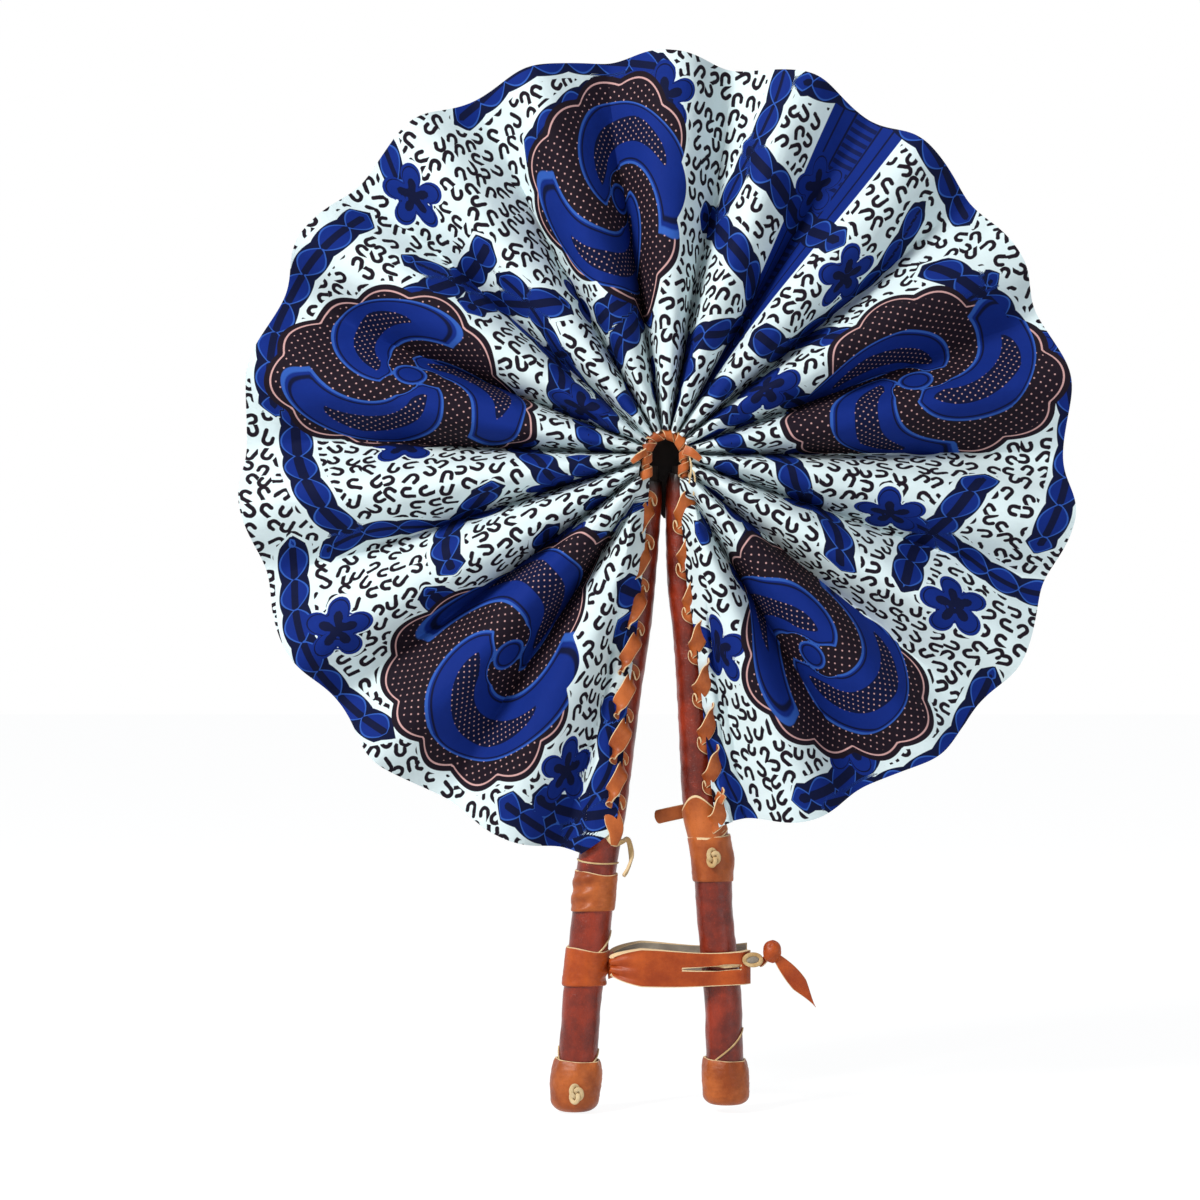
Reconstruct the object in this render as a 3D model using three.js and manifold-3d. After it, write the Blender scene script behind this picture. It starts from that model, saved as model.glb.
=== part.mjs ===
// A round folding hand fan: a pleated cloth leaf laced between two leather-covered sticks.
// Millimetres, +Z up, the fan upright and open. X is to the right and the front faces -Y.
// The origin is where a hand holds the two handles together, straight below the hub.
// "Drop" is a distance down from the hub centre. A side is -1 on the left and 1 on the right.
import * as THREE from "three";
import { mergeVertices } from "three/addons/utils/BufferGeometryUtils.js";
import Module from "manifold-3d";

// Driving dimensions
const gripDrop = 184; // from the hub centre down to the hand
const leafRadius = 137; // hub centre to the widest part of the rim
const gatherRadius = 10.2; // hub centre to the gathered inner edge of the cloth
const clothThickness = 0.45;
const foldPitch = 0.6; // from one cloth layer to the next in the closed stack
const creaseCount = 35;
const restTiltDeg = 30; // how steeply the pleats stand when the fan is open
const edgeGap = 0.15; // cloth to crease line, on each side
const fitGap = 0.3; // between pieces that touch on the real fan

// The lines where the leaf hinges on the sticks: lean from straight down, offset from the centre, depth
const leftHinge = { leanDeg: 8.7, offset: 8.8, depth: 5 };
const rightHinge = { leanDeg: 6.8, offset: 8.7 };

// Sticks: a wooden core in a stitched leather sleeve
const stickTopDrop = 3.6;
const handleRadius = 6.5; // the sleeve at its full width
const sleeveWall = 1.2;
const stickSides = 16;
const leftStick = { length: 209.5, topOffset: -4.9, footShift: -24.5 };
const rightStick = { length: 207.2, topOffset: 4.9, footShift: 15.1 };
// down the stick, sideways over its foot's shift, and its radius over the handle's
leftStick.shares = [
  [0, 0, 0.62],
  [0.05, 0.02, 0.69],
  [0.23, 0.198, 0.88],
  [0.36, 0.384, 0.98],
  [0.52, 0.555, 0.98],
  [0.62, 0.7, 1],
  [0.7, 0.77, 1.01],
  [0.82, 0.894, 0.98],
  [0.88, 0.93, 0.97],
  [0.96, 0.984, 0.98],
  [1, 1, 0.98],
];
rightStick.shares = [
  [0, 0, 0.6],
  [0.05, -0.03, 0.66],
  [0.18, 0.05, 0.76],
  [0.27, 0.2, 0.8],
  [0.37, 0.31, 0.85],
  [0.46, 0.4, 0.93],
  [0.53, 0.48, 0.98],
  [0.6, 0.67, 1],
  [0.65, 0.715, 0.94],
  [0.71, 0.757, 0.91],
  [0.83, 0.92, 0.94],
  [0.89, 0.948, 0.925],
  [1, 1, 0.925],
];

// Leather end caps, with a flat sole, and shoulder bands
const capWall = 1.3;
const capFloor = 2.2;
const capSoleShare = 0.6; // the flat sole's radius over the cap's own
const leftCap = { height: 16.9, bulge: 0.5 };
const rightCap = { height: 14.8, bulge: 0.1 };
const bandWall = 1.1;
const leftBand = { drop: 134.5, height: 13.5 };
const rightBand = { drop: 124, height: 14.5 };

// Cloth hems and the flat thongs that lace them to the sleeves
const hemThickness = 0.5;
const hemLip = 1.1; // cloth past the middle of the lacing
const hemBorder = 4; // cloth hem above and below the lacing
const thongWidth = 3.2;
const thongThickness = 1;
const laceHalfWidth = 1.9; // of the oval that the thong's middle runs round
const laceHalfDepth = 1.1;
const laceLift = 2.45; // sleeve to the oval's middle
const laceTopDrop = 12;
const lacePitch = 14;
const laceTurns = 7.5;
const laceSteps = 24; // to a turn
const laceSides = 6;
// how far round the stick the lacing lies, from the front towards the leaf, at its top and bottom
const leftLace = { topDeg: 17, bottomDeg: -17 };
const rightLace = { topDeg: 14, bottomDeg: 34 };

// Knots and loose thong ends
const studRadius = 1.15;
const studThong = 0.42;
const studSteps = 40;
const shoulderKnotRadius = 1.7;
const shoulderKnotThong = 0.6;
const shoulderKnotRise = 6.2; // above the left band
const capStudRise = 6.7; // above the left sole
const bandStudShare = 0.43; // down the right band
const laceEndLength = 19;
const laceEndWidth = 4.6;
const laceEndThickness = 1.5;
const laceEndRise = 7.6; // above the right band
const laceEndMiddle = 6.4; // hub line to the middle of the thong's end
const laceEndLeanDeg = 12;

// Strap round the handles
const strapBelowBand = 31.3; // from the left band's top to the strap's middle
const strapWidth = 13;
const strapThickness = 1.5;
const strapReach = 27; // hub line to the strap's right end
const strapSpan = 7.5; // handles' middle to the middle of each strand
const strapBow = 10; // along the strap, from its pivot to where it lies straight
const strapPivotGap = 1.7;
const strapPivotDeg = 28; // round the cuff, from straight right towards the strand's side
const backStrandRise = 2.8; // the back strand sits higher
const strandTrim = 1.6; // a strand is this much narrower than the cuff
const slitLength = 20;
const slitWidth = 1.7;
const slitEnd = 2.6; // leather left past the slit

// Toggle thong, its knot and its tail
const toggleRadius = 0.9;
const toggleSides = 8;
const toggleSteps = 20;
const toggleReach = 31.2; // hub line to where the thong turns round the handle
const toggleKnotRadius = 2.4;
const knotDepthShare = 0.85;
const knotHeightShare = 1.15;
const toggleKnotReach = 34.4;
const toggleKnotRise = 5.4; // above the strap's middle
const toggleDepth = 9.4; // of the knot and tail, in front of the handles' middle
const tailLength = 20;
const tailWidth = 5.2;
const tailThickness = 1.3;
const tailLeanDeg = 52; // below straight right

// Hub: a laced collar on the cloth's inner edge, and a leather hinge tab behind the stick tops
const collarRadius = 6.5;
const collarLeg = 6.2; // straight down each side
const collarWrapRadius = 1.05;
const collarThongRadius = 0.6;
const collarTurns = 8;
const tabWidth = 17;
const tabHeight = 15;
const tabThickness = 1.4;
const tabRise = 3; // above the hub centre
const tabCorner = 3;

const strapDrop = leftBand.drop + strapBelowBand;
const toggleKnotDrop = strapDrop - toggleKnotRise;

const wasm = await Module();
wasm.setup();

function radians(degrees) {
  return (degrees * Math.PI) / 180;
}

function material(color, roughness) {
  return new THREE.MeshStandardMaterial({ color, roughness, metalness: 0 });
}

const materials = {
  wood: material("#8a6a45", 0.8),
  sleeve: material("#6b2c22", 0.42),
  tan: material("#b45e30", 0.5),
  rawhide: material("#d9bf92", 0.7),
  cloth: material("#2f4fa8", 0.85),
  hinge: material("#1d1512", 0.6),
};

function named(name, geometry, finish) {
  const mesh = new THREE.Mesh(geometry, materials[finish].clone());
  mesh.name = name;
  return mesh;
}

function indexed(points, faces) {
  const geometry = new THREE.BufferGeometry();
  geometry.setAttribute("position", new THREE.Float32BufferAttribute(points, 3));
  geometry.setIndex(faces);
  return geometry;
}

function solidOf(geometry) {
  const bare = geometry.clone();
  bare.deleteAttribute("normal");
  bare.deleteAttribute("uv");
  const merged = mergeVertices(bare);
  const vertProperties = new Float32Array(merged.getAttribute("position").array);
  const triVerts = new Uint32Array(merged.index.array);
  return new wasm.Manifold(new wasm.Mesh({ numProp: 3, vertProperties, triVerts }));
}

function geometryOf(solid) {
  const mesh = solid.getMesh();
  return indexed(mesh.vertProperties, Array.from(mesh.triVerts));
}

// The value of a table of shares at one place, straight between its rows.
function atShare(rows, share, column) {
  const last = rows.length - 1;
  let k = 0;
  while (k < last - 1 && rows[k + 1][0] < share) k += 1;
  const [low, high] = [rows[k], rows[k + 1]];
  const part = (share - low[0]) / (high[0] - low[0]);
  return low[column] + (high[column] - low[column]) * part;
}

// Sticks

function stickAt(stick, drop) {
  const share = Math.min(Math.max((drop - stickTopDrop) / stick.length, 0), 1);
  const x = stick.topOffset + stick.footShift * atShare(stick.shares, share, 1);
  return { x, radius: handleRadius * atShare(stick.shares, share, 2) };
}

function soleDrop(stick) {
  return stickTopDrop + stick.length;
}

// A solid of level rings centred on the stick's bent middle line. Its profile is a list of
// [drop, radius] that starts and ends on the middle line, or one that closes on itself.
function turnedOnStick(stick, profile, closed) {
  const points = [];
  const rings = [];
  for (const [drop, radius] of profile) {
    const ring = { start: points.length / 3, single: radius === 0 };
    const count = ring.single ? 1 : stickSides;
    for (let i = 0; i < count; i += 1) {
      const turn = (2 * Math.PI * i) / stickSides;
      const x = stickAt(stick, drop).x + radius * Math.cos(turn);
      points.push(x, radius * Math.sin(turn), -drop);
    }
    rings.push(ring);
  }
  const corner = (ring, i) => ring.start + (ring.single ? 0 : i % stickSides);
  const faces = [];
  const pairs = closed ? rings.length : rings.length - 1;
  for (let k = 0; k < pairs; k += 1) {
    const first = rings[k];
    const second = rings[(k + 1) % rings.length];
    for (let i = 0; i < stickSides; i += 1) {
      if (!first.single) faces.push(corner(first, i), corner(second, i), corner(first, i + 1));
      if (!second.single) faces.push(corner(first, i + 1), corner(second, i), corner(second, i + 1));
    }
  }
  return indexed(points, faces);
}

// Two drops with, between them, those where the stick bends.
function bendsBetween(stick, top, bottom) {
  const bends = stick.shares.map(([share]) => stickTopDrop + stick.length * share);
  return [top, ...bends.filter((drop) => drop > top && drop < bottom), bottom];
}

// The profile of a tube that follows a stick: its outside stands off the sleeve's, its wall lies inside that.
function tubeOnStick(stick, top, bottom, standoff, wall) {
  const drops = bendsBetween(stick, top, bottom);
  const outer = drops.map((drop) => [drop, stickAt(stick, drop).radius + standoff]);
  const inner = outer.map(([drop, radius]) => [drop, radius - wall]).reverse();
  return turnedOnStick(stick, [...outer, ...inner], true);
}

// Where the cap's floor stops the sleeve and its core.
function coveredEnd(stick) {
  return soleDrop(stick) - capFloor - fitGap;
}

function stickCore(stick) {
  const wall = sleeveWall + fitGap;
  const bottom = coveredEnd(stick);
  const drops = bendsBetween(stick, stickTopDrop, bottom);
  const side = drops.map((drop) => [drop, stickAt(stick, drop).radius - wall]);
  return turnedOnStick(stick, [[stickTopDrop, 0], ...side, [bottom, 0]], false);
}

function stickSleeve(stick) {
  return tubeOnStick(stick, stickTopDrop, coveredEnd(stick), 0, sleeveWall);
}

function bandRound(stick, top, height, wall) {
  return tubeOnStick(stick, top, top + height, fitGap + wall, wall);
}

// A leather cap drawn over a stick's lower end, rounded under, with a flat sole.
function endCap(stick, cap) {
  const sole = soleDrop(stick);
  const top = sole - cap.height;
  const bore = stickAt(stick, sole).radius + fitGap;
  const outer = bore + capWall;
  const round = outer * (1 - capSoleShare);
  const bend = round * Math.SQRT1_2;
  const floor = sole - capFloor;
  const walls = bendsBetween(stick, top, floor).reverse();
  const inside = [[floor, 0], ...walls.map((drop) => [drop, bore])];
  const outside = [
    [top, outer],
    [top + cap.height / 2, outer + cap.bulge],
    [sole - round, outer],
    [sole - round + bend, outer - round + bend],
    [sole, outer - round],
    [sole, 0],
  ];
  return turnedOnStick(stick, [...inside, ...outside], false);
}

// Leaf

const leafSweep = 2 * Math.PI - radians(leftHinge.leanDeg + rightHinge.leanDeg);
const leafStep = leafSweep / creaseCount; // from crease to crease in the plane of the open fan
const restTilt = radians(restTiltDeg);
const panelAngle = 2 * Math.atan(Math.tan(leafStep / 2) / Math.cos(restTilt));
const restFold = 2 * Math.atan(Math.cos(panelAngle / 2) * Math.tan(restTilt));
// Each crease turns about the faces that meet when it shuts, so the panels' centres drift round a ring
// of this radius.
const centreDrift = (creaseCount * foldPitch * Math.sin(restFold / 2)) / (2 * Math.PI);
// round the leaf from the left stick, and the rim's radius over the leaf's
const rimShares = [
  [0, 0.965],
  [0.23, 1],
  [0.36, 0.976],
  [0.5, 0.935],
  [0.62, 0.941],
  [0.76, 0.956],
  [0.88, 0.956],
  [1, 0.885],
];

function rimRadius(creases) {
  const share = Math.min(Math.max(creases / creaseCount, 0), 1);
  return leafRadius * atShare(rimShares, share, 1);
}

// A corner of a panel beside one of its creases, edgeGap in from it. A side is -1 or 1 across the panel.
function besideCrease(radius, side) {
  const angle = side * (panelAngle / 2 - Math.asin(edgeGap / radius));
  return new THREE.Vector2(radius * Math.cos(angle), radius * Math.sin(angle));
}

// Keeps the part of an outline where normal . point is at least the limit.
function clipOutline(outline, normal, limit) {
  const kept = [];
  outline.forEach((point, i) => {
    const next = outline[(i + 1) % outline.length];
    const here = point.dot(normal) - limit;
    const there = next.dot(normal) - limit;
    if (here >= 0) kept.push(point);
    if (here >= 0 !== there >= 0) kept.push(point.clone().lerp(next, here / (here - there)));
  });
  return kept;
}

// A panel's outline in its own frame: x out along its middle line, y across it.
function panelOutline(index) {
  return [
    besideCrease(gatherRadius, -1),
    besideCrease(rimRadius(index - 1 / 2), -1),
    new THREE.Vector2(rimRadius(index), 0),
    besideCrease(rimRadius(index + 1 / 2), 1),
    besideCrease(gatherRadius, 1),
  ];
}

// Cuts an outline back to the leaf's side of the upright plane through a hinge line.
function clearOfStick(outline, panel, hinge, side) {
  const along = new THREE.Vector3().setFromMatrixColumn(hinge.matrixWorld, 0);
  const front = new THREE.Vector3(0, -1, 0);
  const normal = new THREE.Vector3().crossVectors(along, front).multiplyScalar(-side).normalize();
  const onLine = new THREE.Vector3().setFromMatrixPosition(hinge.matrixWorld);
  const middle = new THREE.Vector3().setFromMatrixPosition(panel.matrixWorld);
  const out = new THREE.Vector3().setFromMatrixColumn(panel.matrixWorld, 0);
  const across = new THREE.Vector3().setFromMatrixColumn(panel.matrixWorld, 1);
  const limit = normal.dot(onLine) + edgeGap + fitGap - normal.dot(middle);
  return clipOutline(outline, new THREE.Vector2(normal.dot(out), normal.dot(across)), limit);
}

function plate(outline, thickness) {
  const shape = new THREE.Shape(outline);
  const geometry = new THREE.ExtrudeGeometry(shape, { depth: thickness, bevelEnabled: false });
  return geometry.translate(0, 0, -thickness / 2);
}

function numbered(prefix, number) {
  return prefix + String(number).padStart(2, "0");
}

function group(name, parent) {
  const made = new THREE.Group();
  made.name = name;
  parent.add(made);
  return made;
}

// The left hinge line: x down the line, y towards the leaf, z to the back.
function leftHingeGroup(fan) {
  const lean = radians(leftHinge.leanDeg);
  const along = new THREE.Vector3(-Math.sin(lean), 0, -Math.cos(lean));
  const back = new THREE.Vector3(0, 1, 0);
  const toLeaf = new THREE.Vector3().crossVectors(back, along);
  const made = group(numbered("hinge_", 0), fan);
  made.quaternion.setFromRotationMatrix(new THREE.Matrix4().makeBasis(along, toLeaf, back));
  made.position.copy(toLeaf).multiplyScalar(leftHinge.offset);
  made.position.addScaledVector(along, centreDrift);
  made.position.y = -leftHinge.depth;
  made.rotateX(restTilt);
  return made;
}

// The chain of frames: each panel hangs on the one before by the crease between them,
// and creases fold to the back and to the front by turns.
function leafFrames(fan) {
  const start = leftHingeGroup(fan);
  const panels = [group("", start)];
  panels[0].position.y = -leftHinge.offset;
  for (let k = 0; k < creaseCount; k += 1) {
    const side = k % 2 === 0 ? 1 : -1;
    const crease = group(numbered("hinge_", k + 1), panels[k]);
    crease.position.z = (-side * foldPitch) / 2;
    crease.rotation.set(-side * restFold, 0, panelAngle / 2, "ZXY");
    const next = group("", crease);
    next.position.z = (side * foldPitch) / 2;
    next.rotation.z = panelAngle / 2;
    panels.push(next);
  }
  const end = group(numbered("hinge_", creaseCount + 1), panels[creaseCount]);
  end.position.y = -rightHinge.offset;
  end.rotation.x = restTilt;
  fan.updateMatrixWorld(true);
  return { start, panels, end };
}

function leafPanel(frames, index) {
  const panel = frames.panels[index];
  let outline = panelOutline(index);
  if (index === 0) {
    outline = clipOutline(outline, new THREE.Vector2(0, 1), leftHinge.offset + edgeGap);
  } else if (index === creaseCount) {
    outline = clipOutline(outline, new THREE.Vector2(0, -1), rightHinge.offset + edgeGap);
  } else if (index < creaseCount / 4) {
    outline = clearOfStick(outline, panel, frames.start, -1);
  } else if (index > (creaseCount * 3) / 4) {
    outline = clearOfStick(outline, panel, frames.end, 1);
  }
  panel.add(named(numbered("leaf_panel_", index), plate(outline, clothThickness), "cloth"));
}

// Windings

// One unbroken tube through a list of stations, each {middle, out, side}: the section has laceSides
// corners, with half sizes along out and side. It ends in flat faces.
function windingTube(stations, halfOut, halfSide) {
  const points = [];
  for (const { middle, out, side } of stations) {
    for (let i = 0; i < laceSides; i += 1) {
      const turn = (2 * Math.PI * i) / laceSides;
      const corner = middle.clone();
      corner.addScaledVector(out, halfOut * Math.cos(turn));
      corner.addScaledVector(side, halfSide * Math.sin(turn));
      points.push(corner.x, corner.y, corner.z);
    }
  }
  const faces = [];
  const last = (stations.length - 1) * laceSides;
  for (let k = 0; k < last; k += laceSides) {
    for (let i = 0; i < laceSides; i += 1) {
      const next = (i + 1) % laceSides;
      faces.push(k + i, k + next, k + laceSides + i);
      faces.push(k + next, k + laceSides + next, k + laceSides + i);
    }
  }
  for (let i = 1; i < laceSides - 1; i += 1) {
    faces.push(0, i + 1, i);
    faces.push(last, last + i, last + i + 1);
  }
  const geometry = indexed(points, faces);
  return solidOf(geometry).volume() > 0 ? geometry : indexed(points, faces.reverse());
}

// Stations of a thong wound round a line: the line's frame at a place along it gives its middle,
// and the two directions of the oval. Both ends run on straight.
function windingStations(lineAt, turns, halfWidth, halfDepth, runOn) {
  const count = Math.round(turns * laceSteps);
  const ovalPoint = (k) => {
    const line = lineAt(k / count);
    const turn = (2 * Math.PI * k) / laceSteps;
    const point = line.middle.clone().addScaledVector(line.wide, halfWidth * Math.cos(turn));
    return point.addScaledVector(line.deep, halfDepth * Math.sin(turn));
  };
  const middles = [];
  for (let k = 0; k <= count; k += 1) middles.push(ovalPoint(k));
  const before = middles[0].clone().sub(middles[1]).setLength(runOn).add(middles[0]);
  const after = middles[count].clone().sub(middles[count - 1]).setLength(runOn);
  after.add(middles[count]);
  const path = [before, ...middles, after];
  return path.map((middle, i) => {
    const ahead = path[Math.min(i + 1, path.length - 1)];
    const behind = path[Math.max(i - 1, 0)];
    const tangent = ahead.clone().sub(behind).normalize();
    const line = lineAt(Math.min(Math.max((i - 1) / count, 0), 1));
    const out = middle.clone().sub(line.middle);
    out.addScaledVector(tangent, -out.dot(tangent)).normalize();
    return { middle, out, side: new THREE.Vector3().crossVectors(tangent, out) };
  });
}

// The least distance between turns of a winding, from points on its middle line, less its section.
function leastGap(stations, section) {
  let least = Infinity;
  for (let i = 0; i < stations.length; i += 1) {
    for (let j = i + Math.round(laceSteps / 2); j < stations.length; j += 1) {
      least = Math.min(least, stations[i].middle.distanceTo(stations[j].middle) - section);
    }
  }
  return least;
}

// Lacing

// The middle of the hem's lacing at a drop: on the sleeve's surface, turned round the stick from its
// front towards the leaf.
function laceFrame(stick, lace, side, drop) {
  const share = (drop - laceTopDrop) / (laceTurns * lacePitch);
  const around = radians(lace.topDeg + (lace.bottomDeg - lace.topDeg) * share);
  const deep = new THREE.Vector3(side * Math.sin(around), -Math.cos(around), 0);
  const wide = new THREE.Vector3(side * Math.cos(around), Math.sin(around), 0);
  const { x, radius } = stickAt(stick, drop);
  const middle = new THREE.Vector3(x, 0, -drop).addScaledVector(deep, radius + laceLift);
  return { middle, deep, wide };
}

function edgeLacing(stick, lace, side, extra) {
  const lineAt = (share) => {
    const drop = laceTopDrop + share * laceTurns * lacePitch;
    return laceFrame(stick, lace, side, drop);
  };
  const runOn = thongThickness + extra;
  const stations = windingStations(lineAt, laceTurns, laceHalfWidth, laceHalfDepth, runOn);
  const halfOut = thongThickness / 2 + extra;
  const halfSide = thongWidth / 2 + extra;
  return { stations, geometry: windingTube(stations, halfOut, halfSide) };
}

// Where the hinge line passes a height, a fit gap in from the leaf.
function hingeLineAt(hinge, side, drop) {
  const onLine = new THREE.Vector3().setFromMatrixPosition(hinge.matrixWorld);
  const along = new THREE.Vector3().setFromMatrixColumn(hinge.matrixWorld, 0);
  const point = onLine.addScaledVector(along, (-drop - onLine.z) / along.z);
  return point.add(new THREE.Vector3(-side * fitGap, 0, 0));
}

// The strip of cloth from the lacing to the hinge line, with holes where the thong goes through.
function clothHem(stick, lace, side, hinge, lacing) {
  const drops = [];
  const top = laceTopDrop - hemBorder;
  const bottom = laceTopDrop + laceTurns * lacePitch + hemBorder;
  const rows = Math.round(laceTurns * 2);
  for (let k = 0; k <= rows; k += 1) drops.push(top + ((bottom - top) * k) / rows);
  const points = [];
  for (const drop of drops) {
    const frame = laceFrame(stick, lace, side, drop);
    const inner = frame.middle.clone().addScaledVector(frame.wide, -hemLip);
    const middle = frame.middle.clone().addScaledVector(frame.wide, hemLip);
    const outer = hingeLineAt(hinge, side, drop);
    for (const face of [1, -1]) {
      for (const edge of face === 1 ? [inner, middle, outer] : [outer, middle, inner]) {
        const corner = edge.clone().addScaledVector(frame.deep, (face * hemThickness) / 2);
        points.push(corner.x, corner.y, corner.z);
      }
    }
  }
  const across = 6; // corners of one cross section
  const faces = [];
  for (let k = 0; k < rows; k += 1) {
    for (let i = 0; i < across; i += 1) {
      const a = k * across + i;
      const b = k * across + ((i + 1) % across);
      faces.push(a, b, a + across, b, b + across, a + across);
    }
  }
  const last = rows * across;
  for (let i = 0; i < across / 2 - 1; i += 1) {
    const far = across - 1 - i; // the corner behind this one
    faces.push(i, far, i + 1, i + 1, far, far - 1);
    faces.push(last + i, last + i + 1, last + far, last + i + 1, last + far - 1, last + far);
  }
  const right = indexed(points, faces);
  const hem = solidOf(right).volume() > 0 ? solidOf(right) : solidOf(indexed(points, faces.reverse()));
  return geometryOf(hem.subtract(solidOf(lacing)));
}

// Strap

function cuffAxis() {
  return stickAt(leftStick, strapDrop);
}

// A strand's pivot beside the cuff, seen from above. A face is -1 in front and 1 behind.
function strandPivot(face) {
  const { x, radius } = cuffAxis();
  const reach = radius + fitGap + strapThickness + strapPivotGap;
  const turn = radians(strapPivotDeg);
  return new THREE.Vector2(x + reach * Math.cos(turn), face * reach * Math.sin(turn));
}

// A flat ribbon standing on edge: its middle line seen from above, given width up and down.
function ribbon(middles, thickness, width) {
  const near = [];
  const far = [];
  middles.forEach((point, i) => {
    const ahead = middles[Math.min(i + 1, middles.length - 1)];
    const behind = middles[Math.max(i - 1, 0)];
    const across = ahead.clone().sub(behind).normalize().rotateAround(new THREE.Vector2(), Math.PI / 2);
    near.push(point.clone().addScaledVector(across, thickness / 2));
    far.push(point.clone().addScaledVector(across, -thickness / 2));
  });
  const outline = new THREE.Shape([...near, ...far.reverse()]);
  const geometry = new THREE.ExtrudeGeometry(outline, { depth: width, bevelEnabled: false });
  return geometry.translate(0, 0, -width / 2);
}

function strandPath(face) {
  const pivot = strandPivot(face);
  const lie = face * strapSpan;
  const bow = (share) => pivot.y + (lie - pivot.y) * Math.sin((share * Math.PI) / 2);
  const points = [];
  const steps = 4;
  for (let k = 0; k <= steps; k += 1) {
    points.push(new THREE.Vector2(pivot.x + (strapBow * k) / steps, bow(k / steps)));
  }
  points.push(new THREE.Vector2(strapReach, lie));
  return points;
}

function frontStrand() {
  const width = strapWidth - strandTrim;
  const strand = ribbon(strandPath(-1), strapThickness, width);
  strand.translate(0, 0, -strapDrop);
  const slit = new THREE.BoxGeometry(slitLength, strapThickness * 3, slitWidth);
  slit.translate(strapReach - slitEnd - slitLength / 2, -strapSpan, -strapDrop);
  return geometryOf(solidOf(strand).subtract(solidOf(slit)));
}

function backStrand() {
  const strand = ribbon(strandPath(1), strapThickness, strapWidth - strandTrim);
  return strand.translate(0, 0, -strapDrop + backStrandRise);
}

// The thong that shuts the strap: from the back strand round the right handle to the knot in front.
function toggleThong() {
  const level = -strapDrop + backStrandRise;
  const endGap = toggleRadius + fitGap;
  const backFace = strapSpan + strapThickness / 2 + endGap;
  const knot = new THREE.Vector3(toggleKnotReach, -toggleDepth, -toggleKnotDrop);
  const frontTurn = new THREE.Vector3(toggleReach, -strapSpan / 2, level);
  const toKnot = knot.clone().sub(frontTurn).setLength(toggleKnotRadius * knotDepthShare + fitGap);
  const route = new THREE.CatmullRomCurve3([
    new THREE.Vector3(strapReach - slitEnd, backFace, level),
    new THREE.Vector3(strapReach + endGap, backFace, level),
    new THREE.Vector3(toggleReach, strapSpan / 2, level),
    frontTurn,
    knot.sub(toKnot),
  ]);
  const section = new THREE.Shape();
  section.absarc(0, 0, toggleRadius, 0, 2 * Math.PI);
  const options = { steps: toggleSteps, extrudePath: route, curveSegments: toggleSides, bevelEnabled: false };
  return new THREE.ExtrudeGeometry(section, options);
}

function toggleKnot() {
  const knot = new THREE.SphereGeometry(toggleKnotRadius, 12, 8);
  knot.scale(1, knotDepthShare, knotHeightShare);
  return knot.translate(toggleKnotReach, -toggleDepth, -toggleKnotDrop);
}

// A leaf-shaped thong end hanging from the knot.
function toggleTail() {
  const start = toggleKnotRadius * knotHeightShare + fitGap;
  const end = start + tailLength;
  const outline = new THREE.Shape();
  outline.moveTo(start, -tailWidth / 4);
  outline.quadraticCurveTo(start + tailLength / 2, -tailWidth, end, 0);
  outline.quadraticCurveTo(start + tailLength / 2, tailWidth * (3 / 4), start, tailWidth / 4);
  const options = { depth: tailThickness, bevelEnabled: false, curveSegments: 6 };
  const tail = new THREE.ExtrudeGeometry(outline, options);
  tail.translate(0, 0, -tailThickness / 2);
  tail.rotateX(Math.PI / 2);
  tail.rotateY(radians(tailLeanDeg));
  return tail.translate(toggleKnotReach, -toggleDepth, -toggleKnotDrop);
}

// Knots and loose ends

// A thong knotted on itself, lying flat against the front.
function tiedKnot(radius, thong, x, wallDepth, drop) {
  const knot = new THREE.TorusKnotGeometry(radius, thong, studSteps, laceSides);
  knot.rotateX(Math.PI / 2);
  const halfDepth = radius / 2 + thong;
  return knot.translate(x, -wallDepth - fitGap - halfDepth, -drop);
}

function shoulderKnot() {
  const drop = leftBand.drop - shoulderKnotRise;
  const { x, radius } = stickAt(leftStick, drop);
  return tiedKnot(shoulderKnotRadius, shoulderKnotThong, x, radius, drop);
}

function capStud() {
  const drop = soleDrop(leftStick) - capStudRise;
  const { x, radius } = stickAt(leftStick, drop);
  const wall = radius + fitGap + capWall + leftCap.bulge;
  return tiedKnot(studRadius, studThong, x, wall, drop);
}

function bandStud() {
  const drop = rightBand.drop + rightBand.height * bandStudShare;
  const { x, radius } = stickAt(rightStick, drop);
  const wall = radius + fitGap + bandWall;
  return tiedKnot(studRadius, studThong, x, wall, drop);
}

// The end of the right lacing thong, which passes behind the stick and sticks out at its left.
function looseLaceEnd() {
  const half = laceEndLength / 2 - laceEndWidth / 2;
  const outline = new THREE.Shape();
  outline.absarc(half, 0, laceEndWidth / 2, -Math.PI / 2, Math.PI / 2);
  outline.absarc(-half, 0, laceEndWidth / 2, Math.PI / 2, (3 * Math.PI) / 2);
  const options = { depth: laceEndThickness, bevelEnabled: false, curveSegments: 6 };
  const thong = new THREE.ExtrudeGeometry(outline, options);
  thong.rotateZ(radians(laceEndLeanDeg));
  thong.rotateX(Math.PI / 2);
  const drop = rightBand.drop - laceEndRise;
  const back = stickAt(rightStick, drop).radius + fitGap + laceEndThickness;
  return thong.translate(laceEndMiddle, back, -drop);
}

// Hub

// The leaf's middle plane at rest, which the collar lies in.
function leafDepth() {
  return leftHinge.depth + leftHinge.offset * Math.sin(restTilt);
}

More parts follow.
